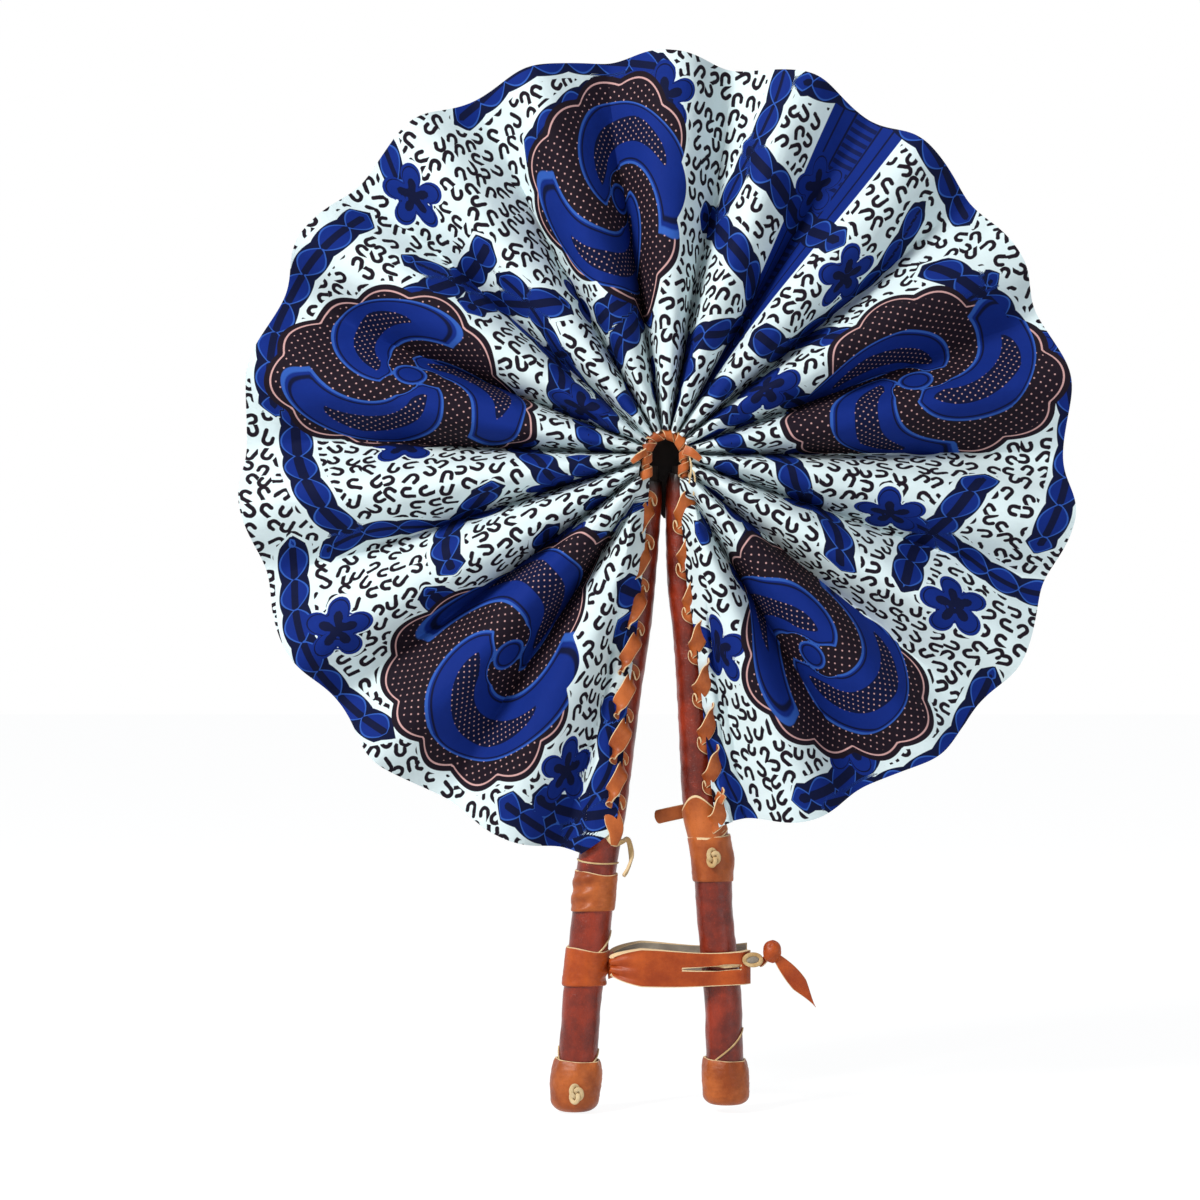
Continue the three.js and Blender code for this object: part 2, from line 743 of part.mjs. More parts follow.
// The collar's line: up one leg, over the hub and down the other.
function collarLine(share) {
  const arch = Math.PI * collarRadius;
  const along = share * (arch + 2 * collarLeg);
  const deep = new THREE.Vector3(0, -1, 0);
  const turn = Math.min(Math.max((along - collarLeg) / collarRadius, 0), Math.PI);
  const wide = new THREE.Vector3(-Math.cos(turn), 0, Math.sin(turn));
  const middle = wide.clone().multiplyScalar(collarRadius);
  middle.y = -leafDepth();
  middle.z += Math.min(along - collarLeg, 0) - Math.max(along - collarLeg - arch, 0);
  return { middle, deep, wide };
}

function hubCollar() {
  const size = collarWrapRadius;
  const stations = windingStations(collarLine, collarTurns, size, size, 2 * collarThongRadius);
  return { stations, geometry: windingTube(stations, collarThongRadius, collarThongRadius) };
}

function hingeTab() {
  const halfWidth = tabWidth / 2;
  const outline = new THREE.Shape();
  outline.moveTo(-halfWidth, tabRise - tabHeight);
  outline.lineTo(halfWidth, tabRise - tabHeight);
  outline.lineTo(halfWidth, tabRise - tabCorner);
  outline.absarc(halfWidth - tabCorner, tabRise - tabCorner, tabCorner, 0, Math.PI / 2);
  outline.absarc(-halfWidth + tabCorner, tabRise - tabCorner, tabCorner, Math.PI / 2, Math.PI);
  const options = { depth: tabThickness, bevelEnabled: false, curveSegments: 5 };
  const tab = new THREE.ExtrudeGeometry(outline, options);
  tab.rotateX(Math.PI / 2);
  const lowest = Math.max(
    stickAt(leftStick, tabHeight - tabRise).radius,
    stickAt(rightStick, tabHeight - tabRise).radius,
  );
  return tab.translate(0, lowest + fitGap + tabThickness, 0);
}

// Assembly

function addStick(fan, label, stick, band, cap) {
  fan.add(named(label + "_stick_core", stickCore(stick), "wood"));
  fan.add(named(label + "_stick_sleeve", stickSleeve(stick), "sleeve"));
  const bandShape = bandRound(stick, band.drop, band.height, bandWall);
  fan.add(named(label + "_shoulder_band", bandShape, "tan"));
  fan.add(named(label + "_end_cap", endCap(stick, cap), "tan"));
}

function addLacing(fan, label, stick, lace, side, hinge) {
  const lacing = edgeLacing(stick, lace, side, 0);
  const clearance = edgeLacing(stick, lace, side, fitGap);
  const gap = leastGap(lacing.stations, thongWidth);
  console.log(label + " edge lacing: least gap to itself " + gap.toFixed(2) + " mm");
  fan.add(named(label + "_edge_lacing", lacing.geometry, "tan"));
  const hem = clothHem(stick, lace, side, hinge, clearance.geometry);
  fan.add(named(label + "_cloth_hem", hem, "cloth"));
}

function addStrap(fan) {
  const cuffDrop = strapDrop - strapWidth / 2;
  const cuff = bandRound(leftStick, cuffDrop, strapWidth, strapThickness);
  fan.add(named("strap_cuff", cuff, "tan"));
  fan.add(named("strap_front_strand", frontStrand(), "tan"));
  fan.add(named("strap_back_strand", backStrand(), "tan"));
  fan.add(named("strap_toggle_thong", toggleThong(), "tan"));
  fan.add(named("strap_toggle_knot", toggleKnot(), "tan"));
  fan.add(named("strap_toggle_tail", toggleTail(), "tan"));
}

function addHub(fan) {
  const collar = hubCollar();
  const gap = leastGap(collar.stations, 2 * collarThongRadius);
  console.log("hub collar: least gap to itself " + gap.toFixed(2) + " mm");
  fan.add(named("hub_collar", collar.geometry, "tan"));
  fan.add(named("hub_hinge_tab", hingeTab(), "hinge"));
}

const fan = new THREE.Group();
const frames = leafFrames(fan);
for (let k = 0; k <= creaseCount; k += 1) leafPanel(frames, k);
addStick(fan, "left", leftStick, leftBand, leftCap);
addStick(fan, "right", rightStick, rightBand, rightCap);
addLacing(fan, "left", leftStick, leftLace, -1, frames.start);
addLacing(fan, "right", rightStick, rightLace, 1, frames.end);
fan.add(named("left_shoulder_knot", shoulderKnot(), "rawhide"));
fan.add(named("left_cap_stud", capStud(), "rawhide"));
fan.add(named("right_band_stud", bandStud(), "rawhide"));
fan.add(named("right_lace_end", looseLaceEnd(), "tan"));
addStrap(fan);
addHub(fan);
fan.position.z = gripDrop;

export default fan;
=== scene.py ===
# %% [markdown]
# # A round folding fan with a leather-covered frame
#
# The fan is a strip of printed cotton, pleated and gathered round a hub, and laced at both ends to
# sticks that are covered in leather. The moving model comes first and stays as it is. Each cell then
# dresses one piece of it. All lengths are in metres, X is to the right, -Y is the front, +Z is up,
# and the origin is where a hand holds the two handles.

# %% Load the moving model
import math
import bpy
import numpy as np
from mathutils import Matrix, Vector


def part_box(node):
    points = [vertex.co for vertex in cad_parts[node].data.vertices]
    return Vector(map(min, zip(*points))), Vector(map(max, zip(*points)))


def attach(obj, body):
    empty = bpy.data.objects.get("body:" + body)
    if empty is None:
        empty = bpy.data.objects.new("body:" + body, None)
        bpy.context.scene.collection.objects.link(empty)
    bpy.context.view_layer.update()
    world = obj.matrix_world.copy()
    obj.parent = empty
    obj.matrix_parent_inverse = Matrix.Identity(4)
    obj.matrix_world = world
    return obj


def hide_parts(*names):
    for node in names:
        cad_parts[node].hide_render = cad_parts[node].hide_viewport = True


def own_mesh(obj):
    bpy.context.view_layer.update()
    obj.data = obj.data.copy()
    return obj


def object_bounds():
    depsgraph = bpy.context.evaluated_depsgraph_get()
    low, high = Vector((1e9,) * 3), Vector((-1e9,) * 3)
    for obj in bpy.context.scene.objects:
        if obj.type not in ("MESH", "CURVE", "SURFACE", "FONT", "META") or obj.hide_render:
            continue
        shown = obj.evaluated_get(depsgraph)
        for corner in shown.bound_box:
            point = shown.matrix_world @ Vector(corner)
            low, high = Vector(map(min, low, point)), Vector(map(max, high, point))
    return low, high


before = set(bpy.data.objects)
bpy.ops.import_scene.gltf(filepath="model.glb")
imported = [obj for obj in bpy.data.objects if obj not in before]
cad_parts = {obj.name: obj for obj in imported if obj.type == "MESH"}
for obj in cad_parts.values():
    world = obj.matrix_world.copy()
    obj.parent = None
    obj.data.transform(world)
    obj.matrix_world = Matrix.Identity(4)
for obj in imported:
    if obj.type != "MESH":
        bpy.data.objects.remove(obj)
model_box = [list(corner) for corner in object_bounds()]
MM = 0.001

# %% [markdown]
# ## The camera
#
# The fan is seen straight from the front and a little from far off, so its circle stays a circle.
# A camera could be aimed with a constraint, but a fixed place and a fixed turn are easier to read:
# it stands in front and looks along +Y.

# %% Camera
FRAME_WIDTH = 390 * MM
CAMERA_DISTANCE = 1150 * MM
SENSOR_WIDTH = 36.0
LOOK_X = -21.1 * MM
LOOK_Z = 136.9 * MM

camera_data = bpy.data.cameras.new("camera")
camera_data.sensor_width = SENSOR_WIDTH
camera_data.lens = SENSOR_WIDTH * CAMERA_DISTANCE / FRAME_WIDTH
camera = bpy.data.objects.new("camera", camera_data)
camera.location = (LOOK_X, -CAMERA_DISTANCE, LOOK_Z)
camera.rotation_euler = (math.pi / 2, 0, 0)
bpy.context.collection.objects.link(camera)
bpy.context.scene.camera = camera
print("lens:", round(camera_data.lens, 1), "mm")

# %% [markdown]
# ## Light, floor and background
#
# Soft daylight comes from all round, and most of the light from the upper left. A studio backdrop could
# be painted white, but then it would light the fan too strongly. So the world and the floor are white
# where the camera looks at them, and plainer where they light the fan.

# %% World
DAYLIGHT = (0.9, 0.95, 1.0)
DAYLIGHT_LEVEL = 0.3


def seen_directly(tree):
    """1 for a ray of the camera, and for one that comes to it by a reflection or through glass."""
    path = tree.nodes.new("ShaderNodeLightPath")
    seen = path.outputs["Is Camera Ray"]
    for kind in ("Is Glossy Ray", "Is Transmission Ray"):
        either = tree.nodes.new("ShaderNodeMath")
        either.operation = "MAXIMUM"
        tree.links.new(seen, either.inputs[0])
        tree.links.new(path.outputs[kind], either.inputs[1])
        seen = either.outputs[0]
    return seen


def plain_shader(tree, kind, colour, strength=None):
    """A shader node of one colour, and its strength where it shines."""
    made = tree.nodes.new("ShaderNode" + kind)
    made.inputs["Color"].default_value = (*colour, 1)
    if strength is not None:
        made.inputs["Strength"].default_value = strength
    return made


def join_shaders(tree, share, first, second, output_kind):
    """The first shader where the share is 0 and the second where it is 1, joined to the tree's output."""
    both = tree.nodes.new("ShaderNodeMixShader")
    tree.links.new(share, both.inputs["Fac"])
    tree.links.new(first.outputs[0], both.inputs[1])
    tree.links.new(second.outputs[0], both.inputs[2])
    output = tree.nodes.new("ShaderNodeOutput" + output_kind)
    tree.links.new(both.outputs[0], output.inputs["Surface"])


def make_world():
    """Daylight for what lights the fan, and plain white for what the camera sees."""
    world = bpy.data.worlds.new("daylight")
    world.use_nodes = True
    tree = world.node_tree
    tree.nodes.clear()
    light = plain_shader(tree, "Background", DAYLIGHT, DAYLIGHT_LEVEL)
    white = plain_shader(tree, "Background", (1, 1, 1), 1.0)
    join_shaders(tree, seen_directly(tree), light, white, "World")
    bpy.context.scene.world = world


make_world()
print("world:", bpy.context.scene.world.name)

# %% Lamps
def area_lamp(name, place, target, size, watts, colour):
    """A square lamp at a place, turned so that its -Z points at the target."""
    data = bpy.data.lights.new(name, "AREA")
    data.size = size
    data.energy = watts
    data.color = colour
    lamp = bpy.data.objects.new(name, data)
    lamp.location = place
    direction = np.subtract(target, place)
    flat = math.hypot(direction[0], direction[1])
    lamp.rotation_euler = (math.atan2(flat, -direction[2]), 0, math.atan2(-direction[0], direction[1]))
    bpy.context.collection.objects.link(lamp)


area_lamp(
    "key", place=(-0.62, -0.62, 0.72), target=(0, 0, 0.17), size=0.28, watts=10.6, colour=(1.0, 0.98, 0.95)
)
area_lamp("fill", place=(0.75, -0.8, 0.1), target=(0, 0, 0.15), size=0.7, watts=2.6, colour=(0.9, 0.95, 1.0))
print("lamps:", [lamp.name for lamp in bpy.data.lights])

# %% Floor
FLOOR_GAP = 0.4 * MM
FLOOR_LEVEL = model_box[0][2] - FLOOR_GAP
FLOOR_SIZE = 8.0
FLOOR_LIFT = 1.22
LIFTED_SHARE = 0.75


def make_floor():
    """A square sheet just under the fan, white enough to vanish where no shadow falls."""
    half = FLOOR_SIZE / 2
    mesh = bpy.data.meshes.new("floor")
    corners = [(x, y, FLOOR_LEVEL) for x, y in ((-half, -half), (half, -half), (half, half), (-half, half))]
    mesh.from_pydata(corners, [], [(0, 1, 2, 3)])
    floor = bpy.data.objects.new("floor", mesh)
    bpy.context.collection.objects.link(floor)
    white = bpy.data.materials.new("floor_white")
    white.use_nodes = True
    tree = white.node_tree
    tree.nodes.clear()
    paper = plain_shader(tree, "BsdfDiffuse", (0.95, 0.95, 0.95))
    lift = plain_shader(tree, "Emission", (1, 1, 1), FLOOR_LIFT)
    share = tree.nodes.new("ShaderNodeMath")
    share.operation = "MULTIPLY"
    share.inputs[1].default_value = LIFTED_SHARE
    tree.links.new(seen_directly(tree), share.inputs[0])
    join_shaders(tree, share.outputs[0], paper, lift, "Material")
    floor.data.materials.append(white)


make_floor()
bpy.context.scene.view_settings.view_transform = "Standard"
print("floor at", round(FLOOR_LEVEL / MM, 1), "mm")

# %% [markdown]
# ## Shapes as grids of points
#
# Every new piece is a grid of points that numpy works out in one go. Blender can also build shapes
# step by step with edit commands, but a grid that is computed whole is quick, exact and easy to
# change. The helper below turns such a grid into a mesh, with its UV map and its marks.

# %% A mesh from a grid of points
def grid_piece(name, points, uv=None, wrap=False, wrap_rows=False, caps=False, marks=None, skip=None):
    """Quads between neighbouring grid points. wrap joins the last column to the first and wrap_rows the
    last row to the first. caps closes the first and the last row with quads laid across from side to
    side. uv is each point's place on the flat cloth, marks are numbers kept on the points, and skip
    leaves quads out."""
    rows, columns = points.shape[:2]
    i, j = np.meshgrid(
        np.arange(rows if wrap_rows else rows - 1),
        np.arange(columns if wrap else columns - 1),
        indexing="ij",
    )
    i, j = i.ravel(), j.ravel()
    corner_rows = np.stack([i, i, i + 1, i + 1], 1)
    corner_columns = np.stack([j, j + 1, j + 1, j], 1)
    quads = (corner_rows % rows) * columns + corner_columns % columns
    if skip is not None:
        quads = quads[~skip.ravel()]
    vertices = points.reshape(-1, 3)
    if caps:
        j = np.arange(columns // 2 - 1)
        end = np.stack([j, j + 1, columns - 2 - j, columns - 1 - j], 1)
        quads = np.concatenate([quads, end[:, ::-1], end + (rows - 1) * columns])
    loops = quads.ravel()
    mesh = bpy.data.meshes.new(name)
    mesh.vertices.add(len(vertices))
    mesh.vertices.foreach_set("co", vertices.astype(np.float32).ravel())
    mesh.loops.add(len(loops))
    mesh.loops.foreach_set("vertex_index", loops.astype(np.int32))
    mesh.polygons.add(len(quads))
    mesh.polygons.foreach_set("loop_start", np.arange(0, len(loops), 4).astype(np.int32))
    mesh.polygons.foreach_set("use_smooth", np.ones(len(quads), bool))
    if uv is not None:
        layer = mesh.uv_layers.new(name="cloth")
        layer.data.foreach_set("uv", uv.reshape(-1, 2)[loops].astype(np.float32).ravel())
    for mark, values in (marks or {}).items():
        values = np.broadcast_to(values, (rows, columns)).ravel()
        layer = mesh.attributes.new(mark, "FLOAT", "POINT")
        layer.data.foreach_set("value", values.astype(np.float32))
    mesh.update()
    mesh.validate()
    piece = bpy.data.objects.new(name, mesh)
    bpy.context.collection.objects.link(piece)
    if wrap and (caps or wrap_rows):
        face_outwards(piece)
    return piece


def face_outwards(piece):
    """Turns a closed mesh round where its volume, the sum of its faces' signed cones, is negative."""
    mesh = piece.data
    mesh.calc_loop_triangles()
    corners = np.zeros(len(mesh.loop_triangles) * 3, np.int32)
    mesh.loop_triangles.foreach_get("vertices", corners)
    places = np.zeros(len(mesh.vertices) * 3, np.float32)
    mesh.vertices.foreach_get("co", places)
    a, b, c = places.reshape(-1, 3)[corners.reshape(-1, 3)].astype(float).transpose(1, 0, 2)
    if np.einsum("ij,ij->i", a, np.cross(b, c)).sum() < 0:
        mesh.flip_normals()


print("grid helper ready")

# %% Lines, noise and strips
def unit(vectors):
    """Each vector over its own length."""
    least = 1e-12
    return vectors / np.maximum(np.linalg.norm(vectors, axis=-1, keepdims=True), least)


def power_sign(values, power):
    """A number's size to a power, with its own sign."""
    return np.sign(values) * np.abs(values) ** power


def smooth_line(knots, count):
    """A smooth line through the knots: each stretch is a cubic whose slope at a knot is half the step
    between its neighbours."""
    knots = np.asarray(knots, float)
    padded = np.concatenate([2 * knots[:1] - knots[1:2], knots, 2 * knots[-1:] - knots[-2:-1]])
    place = np.linspace(0, len(knots) - 1, count)
    k = np.minimum(place.astype(int), len(knots) - 2)
    t = (place - k)[:, None]
    a, b, c, d = padded[k], padded[k + 1], padded[k + 2], padded[k + 3]
    return 0.5 * (2 * b + (c - a) * t + (2 * a - 5 * b + 4 * c - d) * t**2 + (3 * b - a - 3 * c + d) * t**3)


def soft_noise(shape, passes, seed, wrap=False):
    """Random numbers, blurred by averaging each with its neighbours, and scaled to lie within -1 and 1."""
    values = np.random.default_rng(seed).normal(size=shape)
    mode = "wrap" if wrap else "edge"
    for _ in range(passes):
        wide = np.pad(values, ((1, 1), (0, 0)), mode="edge")
        values = (wide[:-2] + 2 * wide[1:-1] + wide[2:]) / 4
        wide = np.pad(values, ((0, 0), (1, 1)), mode=mode)
        values = (wide[:, :-2] + 2 * wide[:, 1:-1] + wide[:, 2:]) / 4
    return values / np.abs(values).max()


def strip(name, middles, wide, half_width, half_thickness, sides=14, power=3.0, marks=None):
    """A flat thong along a line. Its section is a rounded rectangle: the width share and the thickness
    share, each to the given power, add up to 1. raw_edge marks the two cut edges and the ends."""
    tangents = unit(np.gradient(middles, axis=0))
    wide = unit(wide - (wide * tangents).sum(1, keepdims=True) * tangents)
    deep = np.cross(tangents, wide)
    turn = np.linspace(0, 2 * np.pi, sides, endpoint=False)
    across = power_sign(np.cos(turn), 2 / power)
    through = power_sign(np.sin(turn), 2 / power)
    width = np.broadcast_to(half_width, len(middles))[:, None, None]
    thick = np.broadcast_to(half_thickness, len(middles))[:, None, None]
    points = middles[:, None] + width * across[:, None] * wide[:, None]
    points = points + thick * through[:, None] * deep[:, None]
    edge = np.broadcast_to(np.clip((np.abs(across) - 0.9) / 0.1, 0, 1), points.shape[:2])
    ends = np.zeros(len(middles))
    ends[[0, -1]] = 1
    values = {"raw_edge": np.maximum(edge, ends[:, None])}
    values.update(marks or {})
    return grid_piece(name, points, wrap=True, caps=True, marks=values)


print("line, noise and strip helpers ready")

# %% [markdown]
# ## Sizes
#
# The cloth is one long strip, pleated and drawn together round the hub. A place on it is given by two
# numbers: how many pleat faces round the hub it lies, counted from the left stick, and how far from
# the hub it is. The sizes here are the fan's own, as they were estimated, and the rest follows.

# %% The plan of the pleats
HUB_HEIGHT = 184 * MM
LEAF_RADIUS = 137 * MM
FACE_COUNT = 36
LEFT_LEAN = math.radians(8.7)
RIGHT_LEAN = math.radians(6.8)
LEFT_OFFSET = 8.8 * MM
RIGHT_OFFSET = 8.7 * MM
HEM_DEPTH = 5 * MM
REST_TILT = math.radians(30)
LEAF_DEPTH = HEM_DEPTH + LEFT_OFFSET * math.sin(REST_TILT)
LEFT_EDGE = LEFT_OFFSET * math.cos(REST_TILT)
RIGHT_EDGE = RIGHT_OFFSET * math.cos(REST_TILT)
CLOTH_THICKNESS = 0.45 * MM
INNER_RADIUS = 7.6 * MM
STRIP_STEP = 26 * MM  # cloth cut for one face
FACE_STEP = (2 * math.pi - LEFT_LEAN - RIGHT_LEAN) / (FACE_COUNT - 1)

RIM_PLACES = np.array([0, 0.23, 0.36, 0.5, 0.62, 0.76, 0.88, 1])
RIM_SHARES = np.array([0.965, 1, 0.976, 0.935, 0.941, 0.956, 0.956, 0.885])
DEPTH_RADII = np.array([7, 10, 14, 25, 50, 80, 110, 137]) * MM
HALF_DEPTHS = np.array([1.8, 3.2, 5.2, 7.4, 8.6, 8.4, 7.1, 5.4]) * MM
STICK_SIDE_DEPTH = 3.2 * MM
print("one pleat face turns", round(math.degrees(FACE_STEP), 2), "degrees")

# %% [markdown]
# ## The pleated leaf
#
# On the real fan the pleats are rolled and narrow at the hub, with a sharp fold behind, and open into
# wide shallow waves at the rim. Cloth simulation could gather a strip like this, but the pleats here
# also have to fold up face by face. So the depth of the cloth is a wave, and its form changes on the
# way out. A fold is a ridge where the wave comes to the front and a valley where it goes to the back.

# %% The wave of the pleats
def near_hub(r):
    """1 up to 50 mm from the hub and 0 from 135 mm on."""
    return np.clip((135 * MM - r) / (85 * MM), 0, 1)


def wave(c, r):
    """1 on a ridge and -1 in a valley. p runs from 0 on a ridge to 1 in a valley. Near the hub the
    height is 1 - 2 p^2.6, broad in front and narrow behind, and at the rim it is cos(pi p). A slow
    warp shifts the folds a little, so that no two are alike."""
    warp = 0.07 * np.sin(1.9 * c + 22 * r / LEAF_RADIUS / 2) + 0.05 * np.sin(4.3 * c - 3 * r / LEAF_RADIUS)
    swing = -np.sin(np.pi * (c + warp * np.clip(r / LEAF_RADIUS - 0.15, 0, 1)))
    p = np.arccos(np.clip(swing, -1, 1)) / np.pi
    near = near_hub(r)
    return near * (1 - 2 * p**2.6) + (1 - near) * swing


def away_from_sticks(c, r):
    """0 at the hems' edges and 1 from 14 mm off: 3 d^2 - 2 d^3 for the share d of that distance."""
    left = r * np.sin(np.clip(c * FACE_STEP, 0, np.pi / 2)) - LEFT_EDGE
    right = r * np.sin(np.clip((FACE_COUNT - 1 - c) * FACE_STEP, 0, np.pi / 2)) - RIGHT_EDGE
    d = np.clip(np.minimum(left, right) / (14 * MM), 0, 1)
    return d * d * (3 - 2 * d)


def leaf_front(c, r):
    """How far the cloth comes forward of its middle plane: a half depth times the wave, a little
    different from pleat to pleat, with a slow swell and a fine ripple. Beside the hems it stays flat."""
    half = np.interp(r, DEPTH_RADII, HALF_DEPTHS)
    uneven = 1 + 0.1 * np.sin(1.7 * c + 1) + 0.06 * np.sin(3.1 * c)
    swell = 0.7 * MM * np.sin(0.9 * c + 9 * r / LEAF_RADIUS) * (r / LEAF_RADIUS)
    ripple = 0.16 * MM * np.sin(9.1 * c + 31 * r / LEAF_RADIUS) * np.clip(r / LEAF_RADIUS - 0.2, 0, 1)
    front = half * uneven * wave(c, r) + swell + ripple
    return np.maximum(front, -STICK_SIDE_DEPTH - (half + 2 * MM) * away_from_sticks(c, r))


print("half a pleat's depth, from hub to rim:", np.round(HALF_DEPTHS / MM, 1), "mm")

# %% The rim and the points of the cloth
def rim_radius(c):
    """The rim's distance from the hub: its share of the leaf's radius, a little more on a ridge."""
    share = np.interp(c / (FACE_COUNT - 1), RIM_PLACES, RIM_SHARES)
    slow = 0.004 * np.sin(2.3 * c + 0.7)
    return LEAF_RADIUS * share * (1 + 0.012 * wave(c, LEAF_RADIUS + 0 * c) + slow)


def leaf_points(c, r):
    """Points of the cloth. The angle from straight down, clockwise as seen from the front, is the left
    lean plus c faces."""
    angle = LEFT_LEAN + c * FACE_STEP
    x = -r * np.sin(angle)
    z = HUB_HEIGHT - r * np.cos(angle)
    return np.stack([x, -LEAF_DEPTH - leaf_front(c, r), z], -1)


rim = rim_radius(np.linspace(0, FACE_COUNT - 1, 200))
print("the rim lies", round(rim.min() / MM), "to", round(rim.max() / MM), "mm from the hub")

# %% Places on the flat strip
def ridge_of(c):
    """The ridge between whose two valleys a place lies."""
    return np.floor((c + 0.5) / 2 + 0.5) * 2 - 0.5


def strip_place(c, r, ridge):
    """How far along the flat strip a place is, in millimetres. From the ridge it is the way along the
    bent cloth, worked out from its steepness at eight places. At the rim the faces share the whole
    strip. Nearer the hub the rest of it is tucked away behind the valleys, where the print jumps."""
    p = np.abs(c - ridge)
    half = np.interp(r, DEPTH_RADII, HALF_DEPTHS)
    near = near_hub(r)

    def way(reach):
        """The length of the bent cloth from the ridge to a share of the way to the valley."""
        total = 0
        for place in (np.arange(8) + 0.5) / 8:
            at = reach * place
            slope = near * 5.2 * at**1.6 + (1 - near) * np.pi * np.sin(np.pi * at)
            total = total + np.hypot(r * FACE_STEP, half * slope)
        return reach * total / 8

    spread = np.clip((r - 50 * MM) / (60 * MM), 0, 1)
    moved = way(p) * (1 + spread * (STRIP_STEP / way(1) - 1))
    return (ridge * STRIP_STEP + np.sign(c - ridge) * moved) / MM


print("the flat strip is", round(FACE_COUNT * STRIP_STEP / MM), "mm long")

# %% Grids and shells of cloth
def inner_radius(c):
    """Where the cloth starts: round the collar, or at the upright planes where the hems take over."""
    left = LEFT_EDGE / np.sin(np.clip(c * FACE_STEP, 0.05, np.pi / 2))
    right = RIGHT_EDGE / np.sin(np.clip((FACE_COUNT - 1 - c) * FACE_STEP, 0.05, np.pi / 2))
    return np.maximum(np.maximum(left, right), INNER_RADIUS)


def face_grid(k, rows, columns):
    """c and r over one face. The first and the last face are slivers, which start at a hem's edge."""
    across = np.linspace(0, 1, columns)[None, :]
    down = np.linspace(0, 1, rows)[:, None]
    if 0 < k < FACE_COUNT - 1:
        c = k - 0.5 + across + 0 * down
        r = inner_radius(c) + (rim_radius(c) - inner_radius(c)) * down
        return c, r
    edge, corner = (LEFT_EDGE, 0.5) if k == 0 else (RIGHT_EDGE, FACE_COUNT - 1.5)
    start = edge / math.sin(FACE_STEP / 2)
    shares = start + (rim_radius(np.array(corner)) - start) * (0.01 + 0.99 * down)
    turn = np.arcsin(edge / shares) / FACE_STEP
    border = turn if k == 0 else FACE_COUNT - 1 - turn
    c = border + (corner - border) * across if k == 0 else corner + (border - corner) * across
    r = shares * rim_radius(c) / rim_radius(np.array(corner))
    return c, r


def surface_normals(points):
    """Across both directions of a grid of points, turned to the front."""
    normals = unit(np.cross(np.gradient(points, axis=1), np.gradient(points, axis=0)))
    flip = np.where(normals[..., 1:2] > 0, -1.0, 1.0)
    return normals * flip


def cloth_piece(name, points, u, v):
    """A shell of cloth: the front points, and the same points set back by the thickness along the normals.
    u and v are the places on the flat strip in millimetres, kept in decimetres as the UV map."""
    back = points - surface_normals(points) * CLOTH_THICKNESS
    ring = np.concatenate([points, back[:, ::-1]], 1)
    uv = np.stack([u, v], -1) / 100
    marks = print_marks(u, v)
    ring_uv = np.concatenate([uv, uv[:, ::-1]], 1)
    ring_marks = {mark: np.concatenate([values, values[:, ::-1]], 1) for mark, values in marks.items()}
    piece = grid_piece(name, ring, uv=ring_uv, wrap=True, caps=True, marks=ring_marks)
    piece.data.set_sharp_from_angle(angle=math.radians(55))
    return piece


print("hem edges at", round(LEFT_EDGE / MM, 2), "and", round(RIGHT_EDGE / MM, 2), "mm")

# %% [markdown]
# ## The printed pattern
#
# The cloth is a wax print: blue chains and flowers and dark scalloped medallions on a white ground
# that is full of small hooks. A picture file would be the quick way, but a picture blurs up close. So
# the big shapes are kept as distances, worked out at every point of the cloth, and the material draws
# a crisp edge where a distance crosses zero. The pattern is laid out on the flat strip, in
# millimetres, so that the pleats gather it as they gather real cloth.

# %% Medallions
# Each medallion's row holds its place in faces, its height over the hub and its radius in millimetres,
# and how many scallops and scroll arms it has, with their hand.
MEDALLIONS = np.array([
    (3.1, 82, 49, 15, 2, 1),
    (9.9, 86, 45, 13, 3, -1),
    (16.3, 84, 42, 12, 2, -1),
    (25.0, 84, 47, 14, 3, 1),
    (31.9, 80, 44, 13, 2, 1),
])


def pick(values, nearest):
    """From the last axis, the values of the shapes that are nearest."""
    return np.take_along_axis(values, nearest[..., None], -1)[..., 0]


def medallion_marks(u, v):
    """The distance inside the nearest medallion's edge, and the height of its scroll. At the angle t the
    edge lies at the radius times 0.91 + 0.07 |cos(n t / 2)| + 0.09 cos(3 t), which makes n scallops on
    three lobes, and its place turns the lobes. The scroll is cos(a t - 7 p) for a arms, where p is the
    distance from the middle over the radius. The arms thin out towards the edge, and the middle is a
    round eye."""
    places, heights, radii, scallops, arms, hands = MEDALLIONS.T
    places = places * STRIP_STEP / MM
    du = u[..., None] - places
    dv = v[..., None] - heights
    turn = np.arctan2(dv, du) * hands
    out = np.hypot(du, dv)
    lobes = 0.91 + 0.07 * np.abs(np.cos(scallops * turn / 2)) + 0.09 * np.cos(3 * turn + places)
    inside = radii * lobes - out
    share = out / radii
    scroll = np.cos(arms * turn - 7.0 * share) + 0.72 - 7 * np.clip(share - 0.72, 0, 1)
    scroll = scroll - 14 * np.clip(0.24 - share, 0, 1)
    eye = (0.14 - share) * 9
    nearest = np.argmax(inside, -1)
    return pick(inside, nearest), np.maximum(pick(scroll, nearest), pick(eye, nearest))


print("medallions:", len(MEDALLIONS))

